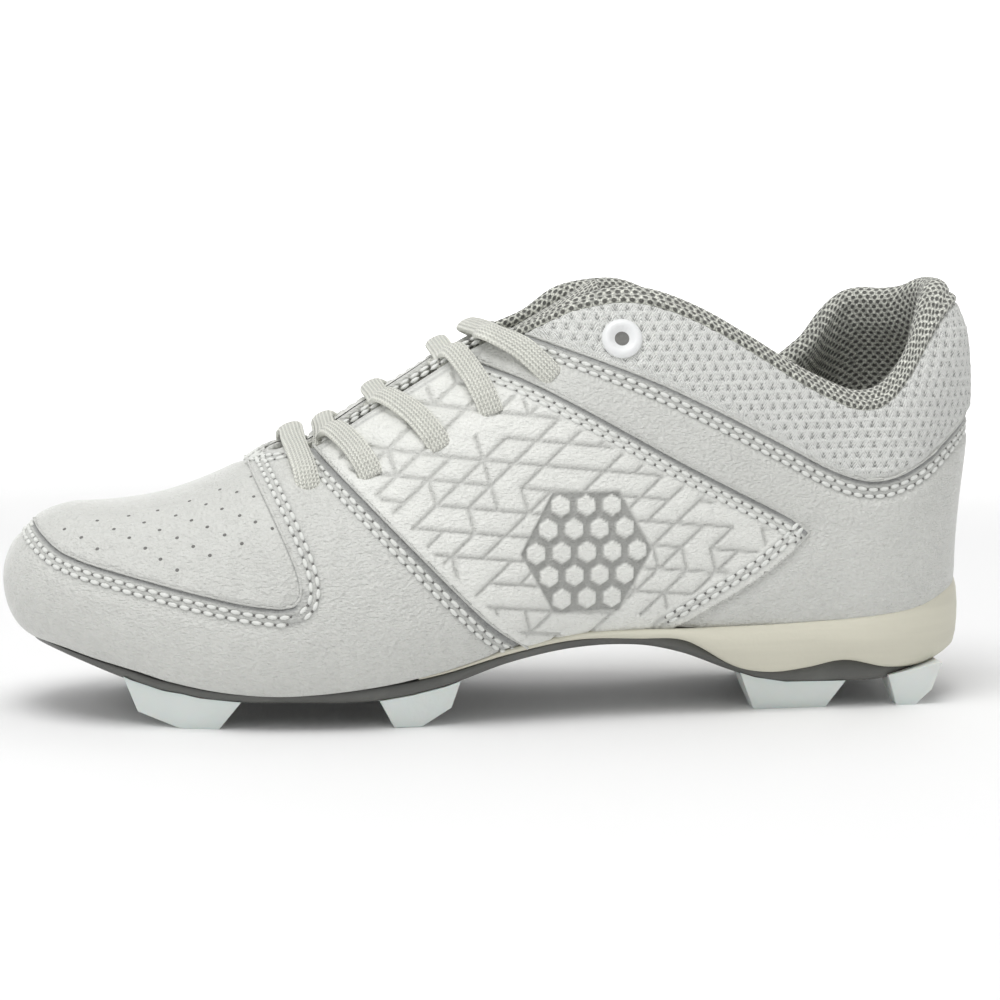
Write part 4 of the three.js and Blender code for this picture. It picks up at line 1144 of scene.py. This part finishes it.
def tongue_ring(x, t):
    """A closed section of the tongue at a station, thinner at its edges and both ends."""
    line = np.stack(tongue_arch(x, t), -1)
    ahead = unit(np.gradient(line, axis=0))
    down = np.stack([ahead[:, 1], -ahead[:, 0]], -1)
    end = math.sqrt(max(0.0, 1 - max(0.0, 1 - (TONGUE_END - x) / 2.2) ** 2))
    start = min(1.0, 0.3 + (x - TONGUE_START) / 8)
    full = TONGUE_THICK * (0.12 + 0.88 * (1 - np.abs(t) ** 3))[:, None]
    middle = line + down * full / 2
    thick = full * max(0.04, end) * start
    ring = np.concatenate([middle - down * thick / 2, (middle + down * thick / 2)[::-1]])
    return np.stack([np.full(len(ring), x), ring[:, 0], ring[:, 1]], -1)


def build_tongue():
    """The padded tongue: leather-faced under the laces, mesh above them."""
    stations = np.r_[np.linspace(TONGUE_START, TONGUE_FREE, 110), np.linspace(16.6, TONGUE_END, 30)]
    points = np.stack([tongue_ring(x, np.linspace(-1, 1, 61)) for x in stations], 1)
    shape = points.shape[:2]
    u = run_along(points[:, 40])
    uv = np.stack([np.broadcast_to(u[:, None], shape), np.broadcast_to(stations[None] * 1.15, shape)], -1)
    values = {"seam_shade": np.zeros(shape)}
    front = np.broadcast_to(stations[None] < TONGUE_FACING_END, shape)
    for name, finish, keep in (("tongue_facing", "leather", front), ("tongue_pad", "lining", ~front)):
        mesh = grid_mesh(name, points, True, keep, values, closed_up(uv))
        add_piece(name, mesh, look_of(finish), finish, ["tongue"])


def close_ends(mesh):
    with edited(mesh) as bm:
        edges = [e for e in bm.edges if e.is_boundary]
        if edges:
            bmesh.ops.holes_fill(bm, edges=edges, sides=0)
        bmesh.ops.recalc_face_normals(bm, faces=bm.faces)


# Laces, in millimetres
LACE_WIDTH = 6.8
LACE_THICK = 3.4
LACE_HOLES = [(-55.2, 63.6), (-38.7, 68.2), (-20.3, 76), (-5.9, 85), (11, 94.2)]
LACE_EDGE = [-57.8, -45.8, -31.8, -12.8, -3.6]
LACE_ARCH = [0.6, 0.3, 0.3, 0.9, 1.6]
LACE_LIFT = 2.5


def hole_up(row, side):
    x, z = LACE_HOLES[row]
    return up_at(along_at(x, side), z)


def cubic_path(points, step=0.7):
    """A smooth line through points, with even steps."""
    points = np.array(points, float)
    keys = np.r_[0, np.cumsum(np.linalg.norm(np.diff(points, axis=0), axis=1) ** 0.75)]
    curve = {"at": keys, "x": points[:, 0], "y": points[:, 1], "z": points[:, 2]}
    fine = np.linspace(0, keys[-1], 400)
    line = np.stack([look(curve, c, fine) for c in "xyz"], -1)
    run = run_along(line)
    even = np.linspace(0, run[-1], max(8, int(run[-1] / step)))
    return np.stack([np.interp(even, run, line[:, k]) for k in range(3)], -1), even


def strap_mesh(name, path, ups, corners=28):
    """A flat woven strap along a path, with its flat face towards ups."""
    line, run = cubic_path(path)
    keys = np.linspace(0, 1, len(ups))
    share = run / run[-1]
    up = unit(np.stack([np.interp(share, keys, np.array(ups)[:, k]) for k in range(3)], -1))
    ahead = unit(np.gradient(line, axis=0))
    across = unit(np.cross(ahead, up))
    up = np.cross(across, ahead)
    turn = 2 * math.pi * np.arange(corners) / corners
    flat = np.sign(np.cos(turn)) * np.abs(np.cos(turn)) ** 0.85
    tall = np.sign(np.sin(turn)) * np.abs(np.sin(turn)) ** 0.9
    crown = 1 - 0.15 * (flat**2)
    points = (
        line[None] + across[None] * (flat * LACE_WIDTH / 2)[:, None, None]
        + up[None] * (tall * crown * LACE_THICK / 2)[:, None, None]
    )
    shape = points.shape[:2]
    v = flat[:, None] / 2 + 0.5
    uv = np.stack([np.broadcast_to(run[None], shape), np.broadcast_to(v, shape)], -1)
    mesh = grid_mesh(name, points, True, uv=closed_up(uv))
    close_ends(mesh)
    return mesh


def lace_leg(row, side):
    """Path and face directions of a leg from under the lace before it to its own side's hole."""
    to, away = row + 1, -side
    hole = along_at(LACE_HOLES[to][0], side)
    up = hole_up(to, side)
    edge = along_at(LACE_EDGE[to], side)
    from_x = LACE_HOLES[row][0] + 4.5
    start = off_wall(along_at(from_x, away), 1.0, -2.4) + np.array([0, -away * 4.5, 1.2])
    middle_x = (from_x + LACE_EDGE[to]) / 2
    crown = look(TONGUE_LINE, "crown", middle_x) + 3.0 + 1.0 * side
    arch = LACE_ARCH[to]
    middle = np.array([middle_x, 0, crown])
    over = off_wall(edge, 1.0, LACE_LIFT + arch)
    out = off_wall(mix(edge, hole, 0.5), mix(1.0, up, 0.5), LACE_LIFT + arch)
    land = off_wall(mix(edge, hole, 0.84), mix(1.0, up, 0.84), LACE_LIFT + 0.2)
    dive = off_wall(mix(edge, hole, 1.06), mix(1.0, up, 1.06), 0.2)
    normal = wall_normal(edge, 0.97)
    start_up = np.array([-0.4, away * 0.25, 1])
    ups = [start_up, start_up, (-0.5, 0, 1), unit(normal + np.array([-0.3, 0, 1.0])),
           wall_normal(hole, up), wall_normal(hole, up)]
    return [start, middle, over, out, land, dive], ups


def bar_half(side):
    """Half of the front lace, from its hole to the wall's edge, with its face directions."""
    hole, edge, up = along_at(LACE_HOLES[0][0], side), along_at(LACE_EDGE[0], side), hole_up(0, side)
    bend = off_wall(mix(edge, hole, 0.7), mix(1, up, 0.75), LACE_LIFT)
    path = [off_wall(hole, up, -0.6), bend, off_wall(edge, 1, LACE_LIFT)]
    return path, [wall_normal(hole, up), wall_normal(edge, 0.95)]


def build_laces():
    (left, left_faces), (right, right_faces) = (bar_half(side) for side, _ in SIDES)
    middle = (left[-1] + right[-1]) / 2 + np.array([0, 0, 2.2])
    faces = left_faces + [(-0.4, 0, 1)] + right_faces[::-1]
    mesh = strap_mesh("lace_bar", left + [middle] + right[::-1], faces)
    add_piece("lace_bar", mesh, look_of("lace"), "lace", ["lace_bar_1"])
    for row in range(4):
        for side, word in SIDES:
            path, faces = lace_leg(row, side)
            mesh = strap_mesh(f"lace_leg_{row + 1}_{word}", path, faces)
            add_piece(mesh.name, mesh, look_of("lace"), "lace", [f"lace_cross_{row + 1}"])


# Stitches and holes
STITCH_PITCH = 3.3
STITCH = (1.46, 0.62, 0.55)
NEEDLE_HOLE = (0.36, 0.46, 0.3)
THREAD_LIFT = 0.15
# How far along the shoe the stitches beside the throat run
THROAT_SPAN = (-50.5, 2.5)


class Beads:
    """Many small rounded shapes in one mesh, each with only a few dozen faces."""

    def __init__(self, segments=8, rings=5):
        self.segments, self.rings = segments, rings
        self.places = []

    def add(self, centre, ahead, normal, size):
        across = np.cross(normal, ahead)
        columns = np.stack([ahead * size[0], across * size[1], normal * size[2]], -1) * MM
        self.places.append((columns, place(centre)))

    def finish(self, name):
        """The first bead is doubled until there are enough, then each is put in its place."""
        bm = bmesh.new()
        bmesh.ops.create_uvsphere(bm, u_segments=self.segments, v_segments=self.rings, radius=1)
        # Through a mesh and back, so that every copy keeps its points in the same order
        seed = bpy.data.meshes.new(name)
        bm.to_mesh(seed)
        bm.free()
        bm = bmesh.new()
        bm.from_mesh(seed)
        bpy.data.meshes.remove(seed)
        one = len(bm.verts)
        while len(bm.verts) < one * len(self.places):
            bmesh.ops.duplicate(bm, geom=bm.verts[:] + bm.edges[:] + bm.faces[:])
        bm.verts.index_update()
        bmesh.ops.delete(bm, geom=bm.verts[one * len(self.places):], context="VERTS")
        mesh = bpy.data.meshes.new(name)
        bm.to_mesh(mesh)
        bm.free()
        blocks = coords_of(mesh).reshape(len(self.places), one, 3)
        turns = np.stack([columns for columns, _ in self.places])
        spots = np.stack([spot for _, spot in self.places])
        placed = np.einsum("brc,bvc->bvr", turns, blocks) + spots[:, None]
        mesh.vertices.foreach_set("co", placed.ravel())
        mesh.update()
        mesh.shade_smooth()
        return mesh


SEAM_EDGE = 0.42


def build_seam_edges():
    """The folded edge of the upper panel along each seam, a thin roll that follows the seam line."""
    wall = the_wall()
    normals, heights = wall.normal.reshape(-1, 3), wall.height.ravel()
    data = bpy.data.curves.new("seam_edges", "CURVE")
    data.dimensions, data.use_fill_caps = "3D", True
    data.bevel_depth, data.bevel_resolution = SEAM_EDGE * MM, 1
    for line in wall.lines.values():
        found = [wall.tree.find_n(p, 6) for p in line]
        kept = [k for k, near in enumerate(found) if near[0][2] < 0.9]
        level = eased(np.array([np.mean([heights[i] for _, i, _ in found[k]]) for k in kept]))
        spline = data.splines.new("POLY")
        spline.points.add(len(kept) - 1)
        for spot, k, rise in zip(spline.points, kept, level):
            spot.co = (*place(line[k] + normals[found[k][0][1]] * rise), 1)
    add_piece("seam_edges", data, look_of("leather"), "leather")


def stitch_lines(wall):
    """The lines that are sewn: each with the panel that carries its row and how far in that lies."""
    for seam, (_, panel, _) in SEAMS.items():
        for side, _ in SIDES:
            for row in STITCH_ROWS:
                yield wall.lines[seam, side], panel, row
    for side, _ in SIDES:
        span = np.linspace(*(along_at(x, side) for x in THROAT_SPAN), 260)
        for row in THROAT_ROWS:
            yield wall_point(span, np.ones_like(span)), "quarter", row


def build_stitches():
    """Thread and needle holes by turns along each line, left out where they would leave the panel; each needle
    hole is a dark bead of painted shade.
    """
    wall = the_wall()
    base, points, normals = (a.reshape(-1, 3) for a in (wall.base, wall.points, wall.normal))
    thread, needle = Beads(), Beads(6, 4)
    for line, panel, row in stitch_lines(wall):
        mask = wall.masks[panel].ravel()
        near = [wall.tree.find(p)[1] for p in line]
        ahead = unit(np.gradient(line, axis=0))
        across = unit(np.cross(normals[near], ahead))
        trial = [wall.tree.find(p)[1] for p in line + across * (row + 1.5)]
        moved = line + across * row * (1 if mask[trial].mean() > 0.5 else -1)
        run = run_along(moved)
        for k in range(int(run[-1] / STITCH_PITCH)):
            for bead, share, size, lift in ((thread, 0.5, STITCH, THREAD_LIFT), (needle, 1.0, NEEDLE_HOLE, 0)):
                spot = (k + share) * STITCH_PITCH
                p = np.array([np.interp(spot, run, moved[:, c]) for c in range(3)])
                i = wall.tree.find(p)[1]
                if not mask[i]:
                    continue
                n = normals[i]
                offset = p - base[i]
                offset -= n * offset.dot(n)
                j = min(len(moved) - 1, int(np.searchsorted(run, spot)))
                direction = unit(ahead[j] - n * ahead[j].dot(n))
                bead.add(points[i] + offset + n * lift, direction, n, size)
    add_piece("stitches", thread.finish("stitches"), look_of("thread"), "lace")
    add_piece("needle_hole_shade", needle.finish("needle_hole_shade"), look_of("needle"), "lining")


VAMP_HOLE = 0.56
VAMP_HOLE_CLEAR = 2.6


def vamp_hole_places():
    """Staggered rows of holes on one half of the vamp, seen from above."""
    return [
        (-120.3 + 4.2 * i, 18.2 + 5.3 * j - 0.25 * j * j)
        for j in range(6) for i in range(14) if (i + j) % 2 == 0
    ]


# The vamp's holes: dark discs of painted shade on the leather, which is not cut
def build_perforations():
    wall = the_wall()
    beads = Beads(10, 5)
    base, points, normals = (a.reshape(-1, 3) for a in (wall.base, wall.points, wall.normal))
    top_tree = make_tree(base * (1, 1, 0))
    mask = wall.masks["vamp"].ravel()
    clear = np.minimum(wall.distances["vamp"], wall.distances["wing_top"]).ravel()
    for x, y in vamp_hole_places():
        for side, _ in SIDES:
            found = top_tree.find_n((x, side * y + TOE_SWING * 0.5, 0), 6)
            i = max(found, key=lambda f: base[f[1]][2])[1]
            if not mask[i] or clear[i] < VAMP_HOLE_CLEAR:
                continue
            ahead = unit(np.cross(np.array([0, 1.0, 0]), normals[i]))
            beads.add(points[i] - normals[i] * 0.05, ahead, normals[i], (VAMP_HOLE, VAMP_HOLE, 0.2))
    add_piece("vamp_perforation_shade", beads.finish("vamp_perforation_shade"), look_of("needle"), "lining")


# Collar eyelets
RING_PROFILE = [
    (5.5, 0.3), (5.65, 0.9), (5.4, 1.5), (4.7, 2.0), (4.0, 2.1), (3.3, 1.8), (2.8, 1.2), (2.1, 0.95), (1.9, 0.6),
]
# The dark disc of painted shade in each eyelet's hole
RING_HOLLOW = [(2.0, 0.8), (1.2, 0.74), (0.0, 0.72)]


def build_eyelets():
    for side, word in SIDES:
        along = along_at(RING_AT[0], side)
        up = up_at(along, RING_AT[1])
        centre, axis = wall_point(along, up), wall_normal(along, up)
        right = unit(np.array([1.0, 0, 0]) - axis * axis[0])
        rows = np.stack([right, np.cross(axis, right), axis, place(centre)], -1)
        matrix = Matrix(rows.tolist() + [[0, 0, 0, 1]])
        mesh = spun(f"eyelet_{word}", RING_PROFILE, matrix)
        add_piece(mesh.name, mesh, look_of("ring"), "ring", [f"collar_eyelet_{word}"])
        # A dark disc of painted shade plugs the eyelet's hole
        mesh = spun(f"eyelet_hole_shade_{word}", RING_HOLLOW, matrix)
        add_piece(mesh.name, mesh, look_of("needle"), "lining")


def spun(name, profile, matrix):
    """A profile of radii and heights in millimetres spun round its axis."""
    bm = bmesh.new()
    verts = [bm.verts.new((r * MM, 0, h * MM)) for r, h in profile]
    edges = [bm.edges.new(pair) for pair in zip(verts, verts[1:])]
    bmesh.ops.spin(bm, geom=verts + edges, axis=(0, 0, 1), angle=2 * math.pi, steps=56, use_merge=True)
    bmesh.ops.remove_doubles(bm, verts=bm.verts, dist=1e-6)
    bmesh.ops.recalc_face_normals(bm, faces=bm.faces)
    top = max(bm.faces, key=lambda f: f.calc_center_median().z)
    if top.normal.z < 0:
        bmesh.ops.reverse_faces(bm, faces=bm.faces)
    bmesh.ops.transform(bm, matrix=matrix, verts=bm.verts)
    mesh = bpy.data.meshes.new(name)
    bm.to_mesh(mesh)
    bm.free()
    mesh.shade_smooth()
    return mesh


# Sole
def sole_loop(along, inset, height):
    """A line round the shoe below the wall's tuck, set in and at a height that follow its length."""
    wide = wall_point(along, TUCK_SHARE)
    at = np.clip(share_at(wide[..., 0]), 0, 1)
    normal = wall_normal(along, TUCK_SHARE)
    normal[..., 2] = 0
    p = wide - unit(normal) * inset(at)[..., None]
    p[..., 2] = height(share_at(p[..., 0]))
    return p


def plate_inset(at):
    return mix(6.2, 3.4, smooth(at, 0, 0.2)) - 1.6 * smooth(at, 0.72, 0.82)


def foam_inset(at):
    return mix(3.2, -1.8, smooth(at, 0.42, 0.75)) - 0.6 * smooth(at, 0.9, 1)


def slab(name, turns, sides, across=40, crown=None):
    """A closed slab from side loops, lowest first: each is an inset and a height along the shoe."""
    lateral = [sole_loop(turns, inset, height) for inset, height in sides]
    medial = [sole_loop(1 - turns, inset, height) for inset, height in sides]
    t = np.linspace(0, 1, across + 2)[1:-1]
    bottom = [mix(medial[0], lateral[0], k) for k in t]
    top = [mix(lateral[-1], medial[-1], k) for k in t]
    if crown:
        bottom = [crown(p) for p in bottom]
    points = np.stack(lateral + top + medial[::-1] + bottom, 0)
    mesh = grid_mesh(name, points, True)
    with edited(mesh) as bm:
        bmesh.ops.remove_doubles(bm, verts=bm.verts, dist=2e-6)
        bmesh.ops.dissolve_degenerate(bm, dist=1e-6, edges=bm.edges)
    close_ends(mesh)
    return mesh


def under(at):
    return sole_z(at, "under")


def plate_top(at):
    return sole_z(at, "plate")


def foam_top(at):
    return sole_z(at, "bite") - 0.3


def seat_top(at):
    return sole_z(at, "seat") - 0.3


def foam_low(at):
    return np.minimum(plate_top(at) + 0.05, seat_top(at) - 1)


TREAD_ANGLE = math.radians(62)
TREAD_SPACING = 9.0
TREAD_DEPTH = 0.45


def line_gap(x, y, turn, spacing):
    """Distance to the nearest of a family of parallel lines."""
    across = -x * math.sin(turn) + y * math.cos(turn)
    return np.abs((across / spacing + 0.5) % 1 - 0.5) * spacing


def tread(p):
    """Shallow moulded ribs under the plate, in two crossing families."""
    p = p.copy()
    gaps = [line_gap(p[..., 0], p[..., 1], turn, TREAD_SPACING) for turn in (TREAD_ANGLE, -TREAD_ANGLE)]
    p[..., 2] += TREAD_DEPTH * smooth(np.minimum(*gaps), 0.5, 1.1)
    return p


# The edges of the plate, foam and insole from the ground up: how far in each line lies, and how high,
# in millimetres for the plate and insole and as a share of its thickness for the foam
PLATE_EDGE = [(2.2, 0.0), (1.2, 0.25), (0.5, 0.9), (0.15, 1.8)]
FOAM_EDGE = [(2.2, 0.0), (0.9, 0.06), (0.3, 0.2), (0.0, 0.4), (0.0, 0.6), (0.35, 0.82), (0.9, 0.94), (1.7, 1.0)]
INSOLE_EDGE = [(1.2, 0.0), (0.0, 1.2), (0.0, 3.9), (0.3, 4.3), (1.0, 4.5)]
FOAM_START = 0.402


def insole_inset(at):
    return mix(9.2, 6.4, smooth(at, 0, 0.2)) - 2 * smooth(at, 0.5, 0.85)


def edge_lines(rows, inset, height):
    """The inset and height along the shoe of each line of an edge."""
    return [(lambda at, k=k: inset(at) + k, lambda at, h=h: height(at, h)) for k, h in rows]


def build_sole():
    turns = np.linspace(0, 0.5, 320)
    plate = edge_lines(PLATE_EDGE, plate_inset, lambda at, h: np.minimum(under(at) + h, plate_top(at) - 0.3))
    plate += [(plate_inset, lambda at: plate_top(at) - 0.3), (lambda at: plate_inset(at) + 0.5, plate_top)]
    mesh = slab("sole_plate", turns, plate, 70, tread)
    add_piece("sole_plate", mesh, look_of("plate"), "plate", ["outsole"])
    heel_turns = np.linspace(along_at(x_at(FOAM_START), -1), 0.5, 260)
    foam = edge_lines(FOAM_EDGE, foam_inset, lambda at, h: mix(foam_low(at), foam_top(at), h))
    foam.append((lambda at: foam_inset(at) + 6.5, lambda at: np.maximum(foam_low(at), seat_top(at) - 0.8)))
    mesh = slab("midsole_foam", heel_turns, foam, 30)
    add_piece("midsole_foam", mesh, look_of("foam"), "foam", ["midsole"])
    insole = edge_lines(INSOLE_EDGE, insole_inset, lambda at, h: sole_z(at, "seat") + h)
    mesh = slab("insole_board", turns, insole, 24)
    set_uv(mesh, coords_of(mesh)[:, :2] / MM)
    add_piece("insole_board", mesh, look_of("lining"), "lining", ["insole"])


STUD_PLACES = ("fore_front", "fore_rear", "heel_side", "heel_back")
STUD_NAMES = [f"stud_{spot}_{word}" for spot in STUD_PLACES for _, word in SIDES]
STUD_ROUND = 0.9


def build_studs():
    """Each stud's own solid with its edges rounded."""
    for node in STUD_NAMES:
        bm = bmesh.new()
        bm.from_mesh(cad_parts[node].data)
        bmesh.ops.remove_doubles(bm, verts=bm.verts, dist=1e-5)
        bmesh.ops.dissolve_limit(bm, angle_limit=math.radians(4), verts=bm.verts, edges=bm.edges)
        sharp = [e for e in bm.edges if e.calc_face_angle(0) > math.radians(14)]
        bmesh.ops.bevel(bm, geom=sharp, offset=STUD_ROUND * MM, offset_type="OFFSET", segments=3, profile=0.5,
                        affect="EDGES", material=-1, clamp_overlap=True)
        mesh = bpy.data.meshes.new(node + "_shape")
        bm.to_mesh(mesh)
        bm.free()
        mesh.shade_smooth()
        add_piece(node + "_shape", mesh, look_of("stud"), "stud", [node])


# Stage
CAMERA_AT = (-122.4, -784.3, 153.9)
CAMERA_TARGET = (1.77, 0.0, 56.43)
CAMERA_LENS = 101.2
CAMERA_ROLL = 0.25


# Metres and watts
FLOOR_HALF = 6
FLOOR_RAISE = 1.4
WORLD_STRENGTH = 0.55
LAMP_TARGET = (0, 0, 0.05)
LAMPS = (
    ("key_light", (-0.25, -0.35, 1.3), 0.8, 9.8), ("side_light", (-0.9, -0.7, 0.7), 0.5, 1.0),
    ("back_light", (0.5, 0.8, 1.1), 0.8, 2.5),
)


def lay_floor():
    """A wide floor with its back edge raised behind the shoe."""
    mesh = bpy.data.meshes.new("studio_floor")
    with edited(mesh) as bm:
        bmesh.ops.create_grid(bm, x_segments=8, y_segments=8, size=FLOOR_HALF)
        back = [e for e in bm.edges if all(v.co.y > FLOOR_HALF - 0.1 for v in e.verts)]
        raised = bmesh.ops.extrude_edge_only(bm, edges=back)["geom"]
        raised = [v for v in raised if isinstance(v, bmesh.types.BMVert)]
        bmesh.ops.translate(bm, vec=(0, 0, FLOOR_RAISE), verts=raised)
    mesh.materials.append(look_of("floor"))
    link_new("studio_floor", mesh)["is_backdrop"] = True


def set_lights():
    scene = bpy.context.scene
    scene.world = scene.world or bpy.data.worlds.new("studio")
    scene.world.use_nodes = True
    sky = scene.world.node_tree.nodes["Background"].inputs
    sky["Color"].default_value = (1, 1, 1, 1)
    sky["Strength"].default_value = WORLD_STRENGTH
    scene.view_settings.view_transform = "Standard"
    for name, at, size, watts in LAMPS:
        lamp = bpy.data.lights.new(name, "AREA")
        lamp.energy, lamp.size = watts, size
        light = link_new(name, lamp)
        light.location = at
        light.rotation_euler = (Vector(LAMP_TARGET) - Vector(at)).to_track_quat("-Z", "Y").to_euler()


def aim_camera():
    data = bpy.data.cameras.new("photo_view")
    data.lens, data.sensor_width, data.clip_end = CAMERA_LENS, 36, 50
    camera = link_new("photo_view", data)
    at, target = Vector(place(CAMERA_AT)), Vector(place(CAMERA_TARGET))
    turn = (target - at).to_track_quat("-Z", "Y").to_matrix().to_4x4()
    camera.matrix_world = Matrix.Translation(at) @ turn @ Matrix.Rotation(math.radians(CAMERA_ROLL), 4, "Z")
    bpy.context.scene.camera = camera


def build_stage():
    lay_floor()
    set_lights()
    aim_camera()


# The add-on
def color_prop(name, value, note):
    fixed = {"subtype": "COLOR", "min": 0, "max": 1}
    return bpy.props.FloatVectorProperty(name=name, description=note, default=value, **fixed)


class CleatFinish(bpy.types.PropertyGroup):
    leather_color: color_prop("Leather", (0.685, 0.69, 0.658), "Colour of the leather panels")
    knit_color: color_prop("Knit", (0.97, 0.98, 0.945), "Colour of the collar's knit")
    lining_color: color_prop("Lining", (0.58, 0.585, 0.53), "Colour of the lining and tongue")
    lace_color: color_prop("Laces", (0.95, 0.955, 0.87), "Colour of the laces")
    foam_color: color_prop("Midsole", (0.68, 0.66, 0.55), "Colour of the foam midsole")
    plate_color: color_prop("Sole plate", (0.12, 0.122, 0.113), "Colour of the sole plate")
    stud_color: color_prop("Studs", (0.74, 0.785, 0.76), "Colour of the moulded studs")


class MakePanels(bpy.types.Operator):
    """Lay the leather panels and the knit collar onto the last"""
    bl_idname = "cleat.make_panels"
    bl_label = "Panels and collar"

    def execute(self, context):
        for zone in PANELS:
            add_panel(zone)
        return {"FINISHED"}


class MakeLining(bpy.types.Operator):
    """Add the lining, its rolled edge and the tongue"""
    bl_idname = "cleat.make_lining"
    bl_label = "Lining and tongue"

    def execute(self, context):
        build_lining()
        build_tongue()
        return {"FINISHED"}


class MakeLaces(bpy.types.Operator):
    """Run the woven laces through their holes"""
    bl_idname = "cleat.make_laces"
    bl_label = "Laces"

    def execute(self, context):
        build_laces()
        return {"FINISHED"}


class MakeStitches(bpy.types.Operator):
    """Sew the seams, set dark discs of painted shade as the vamp's holes and set the collar's eyelets"""
    bl_idname = "cleat.make_stitches"
    bl_label = "Stitches, perforations and eyelets"

    def execute(self, context):
        build_seam_edges()
        build_stitches()
        build_perforations()
        build_eyelets()
        return {"FINISHED"}


class MakeSole(bpy.types.Operator):
    """Mould the sole plate, the foam, the insole and the studs"""
    bl_idname = "cleat.make_sole"
    bl_label = "Sole and studs"

    def execute(self, context):
        build_sole()
        build_studs()
        return {"FINISHED"}


class MakeStage(bpy.types.Operator):
    """Set the pale floor, the soft lights and the camera"""
    bl_idname = "cleat.make_stage"
    bl_label = "Stage"

    def execute(self, context):
        build_stage()
        return {"FINISHED"}


STEPS = (MakePanels, MakeLining, MakeLaces, MakeStitches, MakeSole, MakeStage)


class CleatPanel(bpy.types.Panel):
    bl_idname = "VIEW3D_PT_cleat"
    bl_label = "Softball Cleat"
    bl_space_type = "VIEW_3D"
    bl_region_type = "UI"
    bl_category = "Cleat"

    def draw(self, context):
        for key in CleatFinish.__annotations__:
            self.layout.prop(context.scene.cleat_finish, key)
        for step in STEPS:
            self.layout.operator(step.bl_idname)


CLASSES = (CleatFinish, *STEPS, CleatPanel)


def register():
    for kind in CLASSES:
        bpy.utils.register_class(kind)
    bpy.types.Scene.cleat_finish = bpy.props.PointerProperty(type=CleatFinish)


def unregister():
    del bpy.types.Scene.cleat_finish
    for kind in reversed(CLASSES):
        bpy.utils.unregister_class(kind)


def write_sizes():
    boxes = {"cad": CAD_BOX, "visual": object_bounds()}
    plain = {key: [[float(v) for v in corner] for corner in box] for key, box in boxes.items()}


def main():
    register()
    for step in STEPS:
        group, name = step.bl_idname.split(".")
        getattr(getattr(bpy.ops, group), name)()
    write_sizes()


if __name__ == "__main__":
    main()
